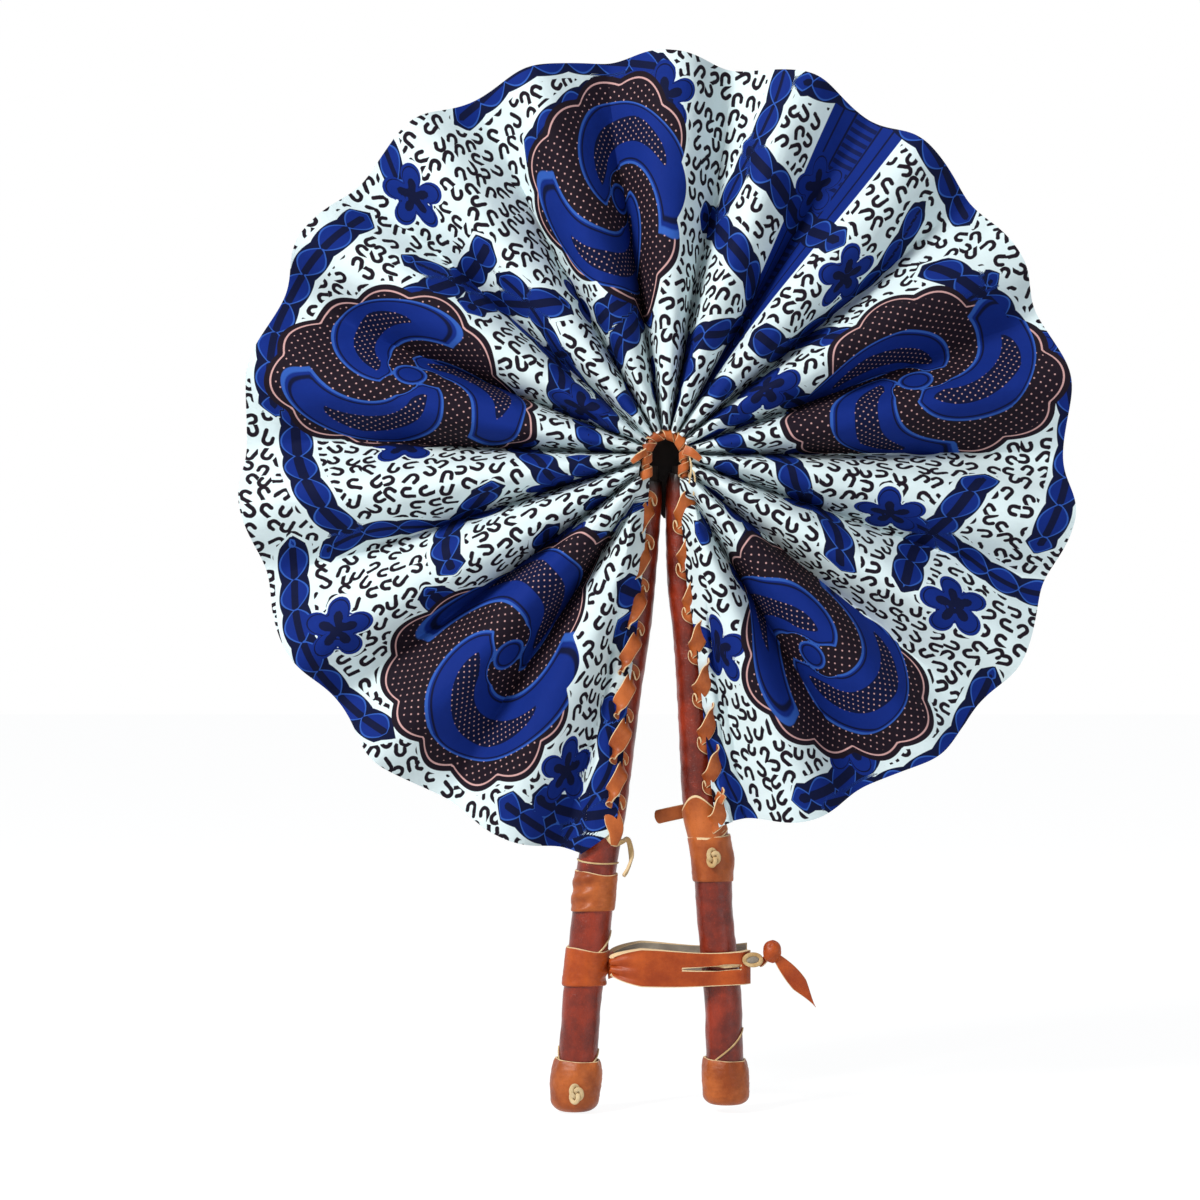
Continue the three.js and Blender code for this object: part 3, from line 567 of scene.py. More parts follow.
# %% Chains
# Each chain's row holds its middle, then the rise, length and start of its sine line, its half width,
# and the period and threshold of the stretches where it shows. The middle is a height over the hub for
# the first kind and a count of faces for the second.
CHAINS_ROUND_THE_HUB = [
    (24, 4, 61, 0.0, 4.2, 61, -0.4),
    (41, 7, 103, 0.4, 5.2, 103, -0.65),
    (63, 15, 167, 2.6, 5.4, 83, -0.5),
    (103, 17, 211, 1.1, 5.6, 105, -0.5),
    (127, 5, 137, 1.9, 5.2, 137, -0.5),
]
CHAINS_OUT_TO_THE_RIM = [
    (0.4, 5, 60, 0.3, 4.8, 120, -0.3),
    (6.5, 8, 92, 1.2, 4.9, 105, -0.35),
    (13.0, 7, 84, 2.9, 4.9, 96, -0.3),
    (19.0, 5, 110, 0.9, 4.7, 140, -0.4),
    (22.2, 6, 90, 2.0, 4.7, 120, -0.3),
    (28.3, 9, 100, 0.2, 5.0, 108, -0.45),
    (12.2, 6, 76, 2.0, 4.8, 110, -0.25),
    (23.6, 5, 88, 0.5, 4.8, 100, -0.3),
    (34.6, 5, 80, 1.0, 4.5, 120, -0.3),
]


def chain(along, off_middle, rise, length, start, half, period, period_start, threshold):
    """The distance inside one chain's edge, and the place along it. The chain's middle is a sine line,
    and its half width falls away at its ends, where a slower cosine drops below the threshold."""
    wave_turn = 2 * np.pi * along / length + start
    lean = np.sqrt(1 + (rise * 2 * np.pi / length * np.cos(wave_turn)) ** 2)
    across = np.abs((off_middle - rise * np.sin(wave_turn)) / lean)
    present = 5 * (np.cos(2 * np.pi * along / period + period_start) - threshold)
    inside = half * np.clip(present, -1, 1) - across
    return inside, along * (1 + (rise * 2 * np.pi / length) ** 2 / 4)


def chain_marks(u, v):
    """The distance inside the nearest chain's edge, and the place along that chain."""
    chains = [
        chain(u, v - middle, rise, length, start, half, period, 0, threshold)
        for middle, rise, length, start, half, period, threshold in CHAINS_ROUND_THE_HUB
    ]
    chains += [
        chain(v, u - face * STRIP_STEP / MM, rise, length, start, half, period, start, threshold)
        for face, rise, length, start, half, period, threshold in CHAINS_OUT_TO_THE_RIM
    ]
    insides = np.stack([inside for inside, along in chains], -1)
    alongs = np.stack([along for inside, along in chains], -1)
    return insides.max(-1), pick(alongs, np.argmax(insides, -1))


print("chains:", len(CHAINS_ROUND_THE_HUB) + len(CHAINS_OUT_TO_THE_RIM))

# %% Flowers, the striped band and all marks together
FLOWER_COUNT = 24
FLOWER_RADIUS = 12
BAND_FACE = 20.6
BAND_HALF_WIDTH = 15


def flower_marks(u, v):
    """The distance inside the nearest flower, whose petals have the radius R (0.42 + 0.58 |cos(2.5 t)|)."""
    order = np.arange(FLOWER_COUNT)
    places = (0.9 + order * 1.5) * STRIP_STEP / MM
    heights = 74 + 46 * np.sin(order * 2.4 + 0.8)
    du = u[..., None] - places
    dv = v[..., None] - heights
    turn = np.arctan2(dv, du) + order
    radius = FLOWER_RADIUS * (0.42 + 0.58 * np.abs(np.cos(2.5 * turn)) ** 0.7)
    return (radius - np.hypot(du, dv)).max(-1)


def band_marks(u, v):
    """The distance inside the plain striped band, which runs straight across the strip."""
    return BAND_HALF_WIDTH - np.abs(u - BAND_FACE * STRIP_STEP / MM) + 0 * v


def print_marks(u, v):
    """All distances of the print at places on the flat strip, in millimetres."""
    medallion, scroll = medallion_marks(u, v)
    chain, along = chain_marks(u, v)
    marks = {"medallion": medallion, "scroll": scroll, "chain": chain, "along": along}
    marks["flower"] = flower_marks(u, v)
    marks["band"] = band_marks(u, v)
    return marks


print("flowers:", FLOWER_COUNT, "and one band", 2 * BAND_HALF_WIDTH, "mm wide")

# %% [markdown]
# ## Small steps for the materials
#
# A material in Blender is a chain of nodes. Built one by one, they take many lines, so a few helpers
# add a node, set its sockets and link them. A socket that is given is linked, and a number is set.

# %% Helpers for shader nodes
def put(socket, value):
    """Links an output to a socket, or sets the socket's own value."""
    if isinstance(value, bpy.types.NodeSocket):
        socket.id_data.links.new(value, socket)
    else:
        socket.default_value = value


def node(tree, kind, settings=None, **sockets):
    """A new node, its settings and its sockets by name, where _ stands for a space."""
    made = tree.nodes.new("ShaderNode" + kind)
    for key, value in (settings or {}).items():
        setattr(made, key, value)
    for key, value in sockets.items():
        put(made.inputs[key.replace("_", " ")], value)
    return made


def calc(tree, operation, *values):
    """The result of one sum or comparison."""
    made = tree.nodes.new("ShaderNodeMath")
    made.operation = operation
    for socket, value in zip(made.inputs, values):
        put(socket, value)
    return made.outputs[0]


def plus(tree, a, b):
    """a + b"""
    return calc(tree, "ADD", a, b)


def minus(tree, a, b):
    """a - b"""
    return calc(tree, "SUBTRACT", a, b)


def times(tree, a, b):
    """a times b"""
    return calc(tree, "MULTIPLY", a, b)


def larger(tree, a, b):
    """The larger of two numbers."""
    return calc(tree, "MAXIMUM", a, b)


def distance(tree, x, y):
    """The square root of x^2 + y^2."""
    return calc(tree, "SQRT", plus(tree, times(tree, x, x), times(tree, y, y)))


def step(tree, value, low, high):
    """0 below low and 1 above high, smooth between. With low above high it falls."""
    made = tree.nodes.new("ShaderNodeMapRange")
    made.interpolation_type = "SMOOTHSTEP"
    if low > high:
        made.inputs["To Min"].default_value = 1
        made.inputs["To Max"].default_value = 0
        low, high = high, low
    put(made.inputs["Value"], value)
    made.inputs["From Min"].default_value = low
    made.inputs["From Max"].default_value = high
    return made.outputs[0]


def mix(tree, share, first, second):
    """One colour over another: the first where the share is 0 and the second where it is 1."""
    made = tree.nodes.new("ShaderNodeMix")
    made.data_type = "RGBA"
    colours = [socket for socket in made.inputs if socket.type == "RGBA"]
    put(made.inputs["Factor"], share)
    put(colours[0], first)
    put(colours[1], second)
    return next(socket for socket in made.outputs if socket.type == "RGBA")


def mark(tree, name):
    """The number that the piece's points carry under a name, or 0."""
    return node(tree, "Attribute", {"attribute_name": name}).outputs["Fac"]


print("shader helpers ready")

# %% New materials and their colours
def finish(name, roughness=0.5):
    """A new material, its tree and its main shader."""
    made = bpy.data.materials.new(name)
    made.use_nodes = True
    shader = made.node_tree.nodes["Principled BSDF"]
    shader.inputs["Roughness"].default_value = roughness
    shader.inputs["Specular IOR Level"].default_value = 0.25
    return made, made.node_tree, shader


def paint(hexadecimal):
    """A colour written as on a paint card, in the linear numbers that the shader needs."""
    values = [int(hexadecimal[i : i + 2], 16) / 255 for i in (0, 2, 4)]
    return (*[v / 12.92 if v <= 0.04045 else ((v + 0.055) / 1.055) ** 2.4 for v in values], 1)


print("half grey as the shader needs it:", np.round(paint("808080"), 3))

# %% [markdown]
# ## Cloth
#
# The ground of hooks could be drawn one by one, but there are thousands. A Voronoi texture gives every
# hook its own cell on the flat cloth. Inside a cell the material measures the distance to one hook, a
# half circle with a long and a short leg, turned and mirrored by chance. The dots in the medallions
# are cells in straight rows.

# %% Hooks and dots
HOOK_SPACING = 5.8  # millimetres, as the other sizes of the print
HOOK_RADIUS = 1.42
HOOK_HALF_STROKE = 0.7
HOOK_TURN = 2.6  # radians, the most that one hook is turned from another
LONG_LEG = 3.0
SHORT_LEG = 1.0


def coin(tree, chance, share):
    """1 where a chance between 0 and 1 is above the share, or else -1."""
    return minus(tree, times(tree, calc(tree, "GREATER_THAN", chance, share), 2), 1)


def cells(tree, place, spacing, randomness):
    """A flat pattern of cells, each round its own middle."""
    settings = {"voronoi_dimensions": "2D"}
    return node(tree, "TexVoronoi", settings, Vector=place, Scale=1 / spacing, Randomness=randomness)


def turned_about_z(tree, place, angle):
    """A place turned about the upright axis."""
    return node(tree, "VectorRotate", {"rotation_type": "Z_AXIS"}, Vector=place, Angle=angle).outputs[0]


def hook_distance(tree, place):
    """The distance in millimetres to the hook of the cell that a place lies in. Above the hook's middle
    it is the distance to a circle, and below to the nearer of two upright legs."""
    cell = cells(tree, place, HOOK_SPACING, 0.5)
    offset = node(tree, "VectorMath", {"operation": "SUBTRACT"})
    put(offset.inputs[0], place)
    put(offset.inputs[1], cell.outputs["Position"])
    chance = node(tree, "SeparateColor", Color=cell.outputs["Color"])
    angle = times(tree, minus(tree, chance.outputs[0], 0.5), HOOK_TURN)
    parts = node(tree, "SeparateXYZ", Vector=turned_about_z(tree, offset.outputs[0], angle))
    x = times(tree, parts.outputs[0], coin(tree, chance.outputs[1], 0.5))
    y = times(tree, parts.outputs[1], coin(tree, chance.outputs[2], 0.4))
    arc = calc(tree, "ABSOLUTE", minus(tree, distance(tree, x, y), HOOK_RADIUS))
    legs = []
    for side, reach in ((1, LONG_LEG), (-1, SHORT_LEG)):
        beside = plus(tree, x, side * HOOK_RADIUS)
        past = larger(tree, minus(tree, times(tree, y, -1), reach), 0)
        legs.append(distance(tree, beside, past))
    above = calc(tree, "GREATER_THAN", y, 0)
    upper_part = times(tree, arc, above)
    lower_part = times(tree, calc(tree, "MINIMUM", *legs), minus(tree, 1, above))
    return plus(tree, upper_part, lower_part)


def dots(tree, place, spacing, radius):
    """1 inside round dots in rows that run at 45 degrees."""
    grid = cells(tree, turned_about_z(tree, place, math.pi / 4), spacing, 0.1)
    return step(tree, grid.outputs["Distance"], (radius + 0.15) / spacing, (radius - 0.15) / spacing)


print("a hook in every", HOOK_SPACING, "mm")

# %% Colours of the ground and the motifs
LINK_LENGTH = 12
WHITE = paint("D6E6E9")
INK = paint("170E19")
BLUE = paint("0A2676")
NAVY = paint("050D30")
BRIGHT = paint("2C55A8")
PINK = paint("C79C9A")


def between(tree, value, low, high, soft=0.12):
    """1 where a value lies between two others, with soft edges."""
    above = step(tree, value, low - soft, low + soft)
    below = step(tree, value, high + soft, high - soft)
    return times(tree, above, below)


def ground_colour(tree, place):
    """White cloth with dark hooks."""
    wobble = node(tree, "TexNoise", {"noise_dimensions": "2D"}, Vector=place, Scale=0.5, Detail=1.0)
    hook = hook_distance(tree, place)
    uneven = plus(tree, hook, times(tree, minus(tree, wobble.outputs[0], 0.5), 0.35))
    stroke = step(tree, uneven, HOOK_HALF_STROKE + 0.12, HOOK_HALF_STROKE - 0.12)
    return mix(tree, stroke, WHITE, INK)


def chain_colour(tree, inside, height):
    """Dark blue, with brighter lens-shaped links that have a bright outline and a dark vein."""
    lens = mix(tree, step(tree, height, -0.1, 0.15), NAVY, BLUE)
    lens = mix(tree, between(tree, height, -0.25, 0.3), lens, BRIGHT)
    vein = times(tree, between(tree, inside, 4.0, 9), step(tree, height, 0.3, 0.6))
    return mix(tree, vein, lens, NAVY)


def medallion_colour(tree, inside, scroll, place):
    """Dark, with a pink line inside the edge, dots, and blue scroll arms with dark borders."""
    dotted = mix(tree, dots(tree, place, 2.4, 0.27), INK, PINK)
    field = mix(tree, step(tree, inside, 3.6, 3.9), INK, dotted)
    line = between(tree, inside, 1.9, 2.5)
    field = mix(tree, line, field, PINK)
    arms = mix(tree, between(tree, scroll, 0.12, 0.3, 0.03), BLUE, BRIGHT)
    arms = mix(tree, between(tree, scroll, 0.4, 0.52, 0.03), arms, NAVY)
    inner = mix(tree, dots(tree, place, 1.9, 0.24), NAVY, PINK)
    arms = mix(tree, step(tree, scroll, 1.43, 1.47), arms, inner)
    return mix(tree, step(tree, scroll, 0.13, 0.17), field, arms)


def flower_colour(tree, inside):
    """Blue petals with a dark line inside their edge and a dark eye."""
    petal = mix(tree, between(tree, inside, 1.1, 1.6), BLUE, NAVY)
    return mix(tree, step(tree, inside, 5.2, 5.6), petal, NAVY)


def band_colour(tree, inside, place):
    """Blue stripes along the band, and short bars across its middle stripe."""
    bars = node(tree, "TexWave", {"bands_direction": "Y"}, Vector=place, Scale=0.11, Distortion=0.6)
    stripes = mix(tree, between(tree, inside, 4.2, 5.0), BLUE, NAVY)
    stripes = mix(tree, between(tree, inside, 9.4, 10.2), stripes, NAVY)
    centre = times(tree, step(tree, inside, 10.2, 10.5), step(tree, bars.outputs["Fac"], 0.45, 0.55))
    return mix(tree, times(tree, centre, 0.8), stripes, NAVY)


def chain_over(tree, colour, inside, along):
    """Draws the chains over a colour. The links bulge by the square of the way from each link's middle."""
    share = calc(tree, "FRACT", calc(tree, "DIVIDE", along, LINK_LENGTH))
    from_middle = minus(tree, times(tree, share, 2), 1)
    link = times(tree, from_middle, from_middle)
    lens = minus(tree, inside, plus(tree, 0.7, times(tree, link, 3.9)))
    scalloped = minus(tree, inside, times(tree, link, 0.9))
    return mix(tree, step(tree, scalloped, -0.1, 0.1), colour, chain_colour(tree, inside, lens))


print("blue of the print:", np.round(BLUE[:3], 3))

# %% The printed cotton
def cloth_height(tree, place):
    """The fine weave, where warp and weft waves cross, on soft creases."""
    warp = node(tree, "TexWave", {"bands_direction": "X"}, Vector=place, Scale=0.9)
    weft = node(tree, "TexWave", {"bands_direction": "Y"}, Vector=place, Scale=0.9)
    weave = times(tree, warp.outputs["Fac"], weft.outputs["Fac"])
    crease = node(tree, "TexNoise", {"noise_dimensions": "2D"}, Vector=place, Scale=0.22, Detail=4.0)
    return plus(tree, times(tree, weave, 0.05), times(tree, crease.outputs[0], 0.9))


def printed_cotton():
    """Layers from the ground up: hooks, the band, chains, flowers and medallions. White shows round each
    motif. Slow noise fades the colours, and the weave and soft creases are in the bump."""
    made, tree, shader = finish("printed_cotton", 0.78)
    place = node(tree, "VectorMath", {"operation": "SCALE"}, Scale=100.0)
    put(place.inputs[0], node(tree, "UVMap", {"uv_map": "cloth"}).outputs[0])
    place = place.outputs[0]
    band, chain_inside, flower, medallion = (
        mark(tree, name) for name in ("band", "chain", "flower", "medallion")
    )
    near_motif = larger(tree, larger(tree, larger(tree, chain_inside, flower), medallion), band)
    colour = mix(tree, step(tree, near_motif, -1.3, -1.1), ground_colour(tree, place), WHITE)
    colour = mix(tree, step(tree, band, -0.15, 0.15), colour, band_colour(tree, band, place))
    colour = chain_over(tree, colour, chain_inside, mark(tree, "along"))
    colour = mix(tree, step(tree, flower, -0.1, 0.1), colour, flower_colour(tree, flower))
    drawn = medallion_colour(tree, medallion, mark(tree, "scroll"), place)
    colour = mix(tree, step(tree, medallion, -0.1, 0.1), colour, drawn)
    fade = node(tree, "TexNoise", {"noise_dimensions": "2D"}, Vector=place, Scale=0.08, Detail=3.0)
    faded = plus(tree, times(tree, fade.outputs[0], 0.22), 0.89)
    shade = node(tree, "HueSaturation", Value=faded, Color=colour)
    put(shader.inputs["Base Color"], shade.outputs[0])
    bump = node(tree, "Bump", Strength=0.5, Distance=0.4 * MM, Height=cloth_height(tree, place))
    put(shader.inputs["Normal"], bump.outputs[0])
    shader.inputs["Specular IOR Level"].default_value = 0.12
    return made


COTTON = printed_cotton()
print("nodes in the cotton:", len(COTTON.node_tree.nodes))

# %% [markdown]
# ## The faces of the leaf
#
# On the real fan the leaf is one strip. Here each face between two folds is a piece of its own, because
# it rides its own panel of the moving model. Its points at rest are those of the curved leaf, and its
# neighbour uses the same formula, so the edges meet.

# %% Make the faces of the leaf
FACE_ROWS = 110
FACE_COLUMNS = 24


def numbered(prefix, k):
    """A name that ends in a number of two digits."""
    return f"{prefix}{k:02d}"


def dress(piece, material, body, node_name=None):
    """Gives a piece its material and slot, and sets it on its body, in place of a node where it has one."""
    piece.data.materials.append(material)
    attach(piece, body)
    if node_name:
        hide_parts(node_name)
    return piece


def make_face(k):
    """One face of cloth on its panel. The print keeps to one ridge on the whole face."""
    c, r = face_grid(k, FACE_ROWS, FACE_COLUMNS if 0 < k < FACE_COUNT - 1 else FACE_COLUMNS // 2)
    r = r + 0 * c
    u = strip_place(c, r, ridge_of(k + 0 * c))
    face = cloth_piece(numbered("leaf_cloth_", k), leaf_points(c, r), u, r / MM)
    return dress(face, COTTON, numbered("panel_", k), numbered("leaf_panel_", k))


faces = [make_face(k) for k in range(FACE_COUNT)]
print("faces:", len(faces), "with", sum(len(face.data.polygons) for face in faces), "quads")

# %% Give each face its own mesh
for k, face in enumerate(faces):
    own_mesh(face)

# %% [markdown]
# ## The sticks
#
# Each handle is a bent stick in a leather sleeve. The moving model already has both, with a few flat
# sides. A new sleeve is a smooth surface round the same middle line, which is measured on the model's
# own sleeve, so that the two can't drift apart. Small bumps and wrinkles are worked into its radius.

# %% Where the sticks run
def stick_line(label):
    """The middle and the radius at each level of the model's sleeve: half the sum and half the
    difference of its least and greatest X there."""
    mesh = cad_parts[label + "_stick_sleeve"].data
    places = np.zeros(len(mesh.vertices) * 3, np.float32)
    mesh.vertices.foreach_get("co", places)
    places = places.reshape(-1, 3).astype(float)
    levels = np.unique(np.round(places[:, 2], 5))[::-1]
    rings = [places[np.abs(places[:, 2] - level) < 2e-5, 0] for level in levels]
    knots = [(level, (x.max() + x.min()) / 2, (x.max() - x.min()) / 2) for level, x in zip(levels, rings)]
    return smooth_line(knots, 240)


LINES = {label: stick_line(label) for label in ("left", "right")}


def stick_at(label, z):
    """The stick's middle X and its radius at heights z, straight between the points of its smooth line."""
    line = LINES[label]
    x = np.interp(z, line[::-1, 0], line[::-1, 1])
    radius = np.interp(z, line[::-1, 0], line[::-1, 2])
    return x, radius


def on_stick(label, z, turn, lift):
    """Points round a stick: its middle, plus the radius and a lift towards the turn. Turn 0 is the front
    and a quarter turn is to the right."""
    x, radius = stick_at(label, z)
    out = radius + lift
    return np.stack(np.broadcast_arrays(x + out * np.sin(turn), -out * np.cos(turn), z), -1)


def drop_to_z(drop):
    """The height of a place that lies a drop below the hub."""
    return HUB_HEIGHT - drop


def ends_of(name):
    """How far below the hub a node of the model starts and ends."""
    low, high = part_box(name)
    return HUB_HEIGHT - high[2], HUB_HEIGHT - low[2]


def node_middle(name):
    """The middle of the box of one of the model's nodes."""
    low, high = (np.array(corner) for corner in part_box(name))
    return (low + high) / 2


print("sticks from", np.round(LINES["left"][0] / MM, 1), "to", np.round(LINES["left"][-1] / MM, 1))

# %% [markdown]
# ## Leather
#
# The fan has dark polished sleeves, tan bands and thongs, a strap with a suede inside, pale rawhide and
# a near-black hinge tab, whose colour is painted shade in the hub. A picture of leather would repeat its
# grain, so one recipe of textures serves them all. Cells of a Voronoi texture make the pebbled grain,
# slow noise varies the colour and the gloss, and where a piece carries the mark raw_edge the pale inside
# of the cut hide shows. Light specks are painted glints, and the tops of the sleeves have painted shade.

# %% Leather finishes
RAW_EDGE = paint("E4C79B")
# The colour of the painted shade at the tops of the sleeves.
PAINTED_SHADE_COLOUR = paint("0C0605")


def leather(name, dark, light, grain_size, gloss, bump_height, painted_glints=0.0, coat=0.0):
    """Dark to light by slow noise, painted glints as light specks, gloss between two roughness values, and
    grain in the bump.
    """
    made, tree, shader = finish(name)
    dark, light = paint(dark), paint(light)
    place = node(tree, "TexCoord").outputs["Object"]
    slow = node(tree, "TexNoise", Vector=place, Scale=90.0, Detail=5.0, Roughness=0.6).outputs[0]
    fine = node(tree, "TexNoise", Vector=place, Scale=900.0, Detail=3.0).outputs[0]
    colour = mix(tree, step(tree, slow, 0.3, 0.72), dark, light)
    # Painted glints: light specks in cells of the grain, brighter than the light colour.
    glint_cells = node(tree, "TexVoronoi", Vector=place, Scale=1 / (grain_size * 1.4)).outputs["Distance"]
    glint_amount = times(tree, step(tree, glint_cells, 0.28, 0.12), painted_glints)
    colour = mix(tree, glint_amount, colour, tuple(min(1, v * 1.9) for v in light[:3]) + (1,))
    colour = mix(tree, times(tree, step(tree, fine, 0.62, 0.8), 0.35), colour, dark)
    # Painted shade where a piece carries its mark, at the tops of the sleeves.
    colour = mix(tree, mark(tree, "painted_shade"), colour, PAINTED_SHADE_COLOUR)
    ragged = plus(tree, mark(tree, "raw_edge"), times(tree, minus(tree, fine, 0.5), 0.3))
    edge = step(tree, ragged, 0.35, 0.6)
    colour = mix(tree, edge, colour, RAW_EDGE)
    put(shader.inputs["Base Color"], colour)
    rough = plus(tree, gloss[0], times(tree, slow, gloss[1] - gloss[0]))
    put(shader.inputs["Roughness"], larger(tree, rough, times(tree, edge, 0.8)))
    pebbles = node(tree, "TexVoronoi", {"feature": "DISTANCE_TO_EDGE"}, Vector=place, Scale=1 / grain_size)
    grain = step(tree, pebbles.outputs["Distance"], 0.0, 0.18)
    folds = node(tree, "TexNoise", Vector=place, Scale=260.0, Detail=4.0).outputs[0]
    height = plus(tree, times(tree, grain, 0.14), folds)
    bump = node(tree, "Bump", Strength=0.6, Distance=bump_height, Height=height)
    put(shader.inputs["Normal"], bump.outputs[0])
    if coat:
        shader.inputs["Coat Weight"].default_value = coat
        shader.inputs["Coat Roughness"].default_value = 0.28
    return made


SLEEVE = leather(
    "sleeve_leather", "541409", "942F14", 0.9 * MM,
    gloss=(0.24, 0.46), bump_height=0.42 * MM, painted_glints=0.14, coat=0.25,
)
TAN = leather(
    "tan_leather", "8A3C0E", "BE652D", 0.7 * MM,
    gloss=(0.36, 0.58), bump_height=0.3 * MM, painted_glints=0.05, coat=0.12,
)
STRAP = leather(
    "strap_leather", "923507", "BC541A", 0.7 * MM,
    gloss=(0.36, 0.58), bump_height=0.3 * MM, painted_glints=0.05, coat=0.1,
)
SUEDE = leather("strap_suede", "857C70", "B0A797", 0.5 * MM, gloss=(0.85, 0.95), bump_height=0.3 * MM)
RAWHIDE = leather("rawhide", "B8925C", "E0CBA0", 0.6 * MM, gloss=(0.6, 0.8), bump_height=0.25 * MM)
# Near black: the hinge tab's colour is painted shade in the hub.
HINGE_PAINTED_SHADE = leather("hinge_leather", "120C0A", "221713", 0.8 * MM, gloss=(0.6, 0.8), bump_height=0.3 * MM)


def wood_in_painted_shade():
    """Noise drawn out along the stick, in two near-black browns. They are painted shade for the stick's end,
    which shows in the dark hub.
    """
    made, tree, shader = finish("stick_wood", 0.75)
    place = node(tree, "TexCoord").outputs["Object"]
    stretched = node(tree, "Mapping", Vector=place)
    stretched.inputs["Scale"].default_value = (1, 1, 0.12)
    rings = node(tree, "TexNoise", Vector=stretched.outputs[0], Scale=1100.0, Detail=5.0).outputs[0]
    # Both browns are near black: painted shade where the stick's end shows at the hub.
    put(shader.inputs["Base Color"], mix(tree, rings, paint("0E0907"), paint("241810")))
    bump = node(tree, "Bump", Strength=0.4, Distance=0.2 * MM, Height=rings)
    put(shader.inputs["Normal"], bump.outputs[0])
    return made


WOOD_PAINTED_SHADE = wood_in_painted_shade()
for label in ("left", "right"):
    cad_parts[label + "_stick_core"].data.materials[0] = WOOD_PAINTED_SHADE
print("leathers:", SLEEVE.name, TAN.name, RAWHIDE.name, HINGE_PAINTED_SHADE.name)

# %% [markdown]
# ## The sleeves
#
# A sleeve is one strip of leather, sewn shut behind the stick. It could be a cylinder that is bent by a
# curve modifier. The tube here follows the measured line directly, so that its ends stay exact.

# %% A tube round a stick
def stick_tube(
    name, label, tops, bottoms, lift, wall, rows=40, columns=56, lumps=0.0, seed=1, edge_share=1.0, painted_shade=0.0
):
    """A closed tube round a stick. Its outside stands off the sleeve by the lift, with soft lumps, and
    its inside by the lift less the wall. The upper and lower edges may differ round the stick. The last
    argument is the length below the upper edge over which shade is painted, darkest at the edge."""
    turn = np.linspace(0, 2 * np.pi, columns, endpoint=False)[None, :]
    share = np.linspace(0, 1, rows)[:, None]
    z = drop_to_z(tops(turn) + (bottoms(turn) - tops(turn)) * share)
    rounding = 1 - np.abs(2 * share - 1) ** 24
    bump = lumps * soft_noise((rows, columns), 3, seed, wrap=True)
    outer = on_stick(label, z, turn, lift(share, turn) - (1 - rounding) * wall * 0.4 + bump)
    inner = on_stick(label, z, turn, lift(share, turn) - wall)
    points = np.concatenate([outer, inner[::-1]], 0)
    edge = np.clip(1 - np.minimum(share, 1 - share) * rows / 1.6, 0, 1) + 0 * turn
    upper = np.where(share < 0.5, edge, 0) * edge_share
    marks = {"raw_edge": np.concatenate([upper, upper[::-1]], 0)}
    # Painted shade below the upper edge: the colour goes dark there and fades down over the given length.
    if painted_shade:
        down = (z - HUB_HEIGHT + tops(turn)) / -painted_shade
        black = np.exp(-(down**2))
        marks["painted_shade"] = np.concatenate([black, black[::-1]], 0)
    piece = grid_piece(name, points, wrap=True, wrap_rows=True, marks=marks)
    piece.data.set_sharp_from_angle(angle=math.radians(70))
    return piece


print("tube helper ready")

# %% Make the sleeves
def level(drop):
    """An edge at one height all round."""
    return lambda turn: drop + 0 * turn


def even(lift):
    """One distance off the sleeve everywhere."""
    return lambda share, turn: lift + 0 * share + 0 * turn


SLEEVE_WALL = 1.2 * MM
SLEEVE_SLANT = 0.8 * MM
# How far down from a sleeve's top shade is painted.
PAINTED_SHADE_LENGTH = 5.5 * MM
SLEEVE_SET_BACK = {"left": 4.4 * MM, "right": 2.6 * MM}


def make_sleeve(label):
    """The whole length of a stick's sleeve. Its upper edge slants by a sine of the turn."""
    node_name = label + "_stick_sleeve"
    top, bottom = ends_of(node_name)

    def slanted(turn):
        """The upper edge."""
        return top + SLEEVE_SET_BACK[label] + SLEEVE_SLANT * np.sin(turn + 0.6)

    sleeve = stick_tube(
        node_name.replace("sleeve", "cover"), label, slanted, level(bottom), even(0.0), SLEEVE_WALL,
        rows=300, columns=64, lumps=0.18 * MM, seed=3, edge_share=0.0, painted_shade=PAINTED_SHADE_LENGTH,
    )
    return dress(sleeve, SLEEVE, label + "_stick", node_name)


sleeves = [make_sleeve(label) for label in ("left", "right")]
print("sleeves:", [sleeve.name for sleeve in sleeves])

# %% [markdown]
# ## The bands and the cuff
#
# Wet leather was drawn over the sticks and shrank as it dried. Cloth simulation could wrinkle it, but
# the folds have to sit where the photograph has them. So a band is a tube with creases from a formula,
# one edge a little slanted and its raw cut pale.

# %% Bands and cuff
def creases(depth, place, width, count):
    """Folds that fan out round the stick from one place: a sine that fades with the turn from there."""
    def lift(share, turn):
        """How far the folds stand out."""
        near = np.exp(-(((turn - place + np.pi) % (2 * np.pi) - np.pi) / width) ** 2)
        return depth * near * np.sin(count * (share - 0.5) * np.pi + 2 * (turn - place))
    return lift


def make_band(name, wall, slant, fold, body, leather_finish):
    """A band over a node's own heights. Its upper edge slants by the given drop, from side to side."""
    top, bottom = ends_of(name)

    def upper(turn):
        """The slanting edge, waved three times round."""
        return top + slant * (0.5 + 0.5 * np.sin(turn + 0.4)) + 0.25 * MM * np.sin(3 * turn)

    def lower(turn):
        """The lower edge, waved twice round."""
        return bottom - 0.3 * MM * (0.5 + 0.5 * np.sin(2 * turn + 1))

    def lift(share, turn):
        """The outside: the wall and the folds."""
        return wall + fold(share, turn)

    label = body.split("_")[0]
    band = stick_tube(
        name + "_leather", label, upper, lower, lift, wall, rows=44, columns=96, lumps=0.15 * MM, seed=5
    )
    return dress(band, leather_finish, body, name)


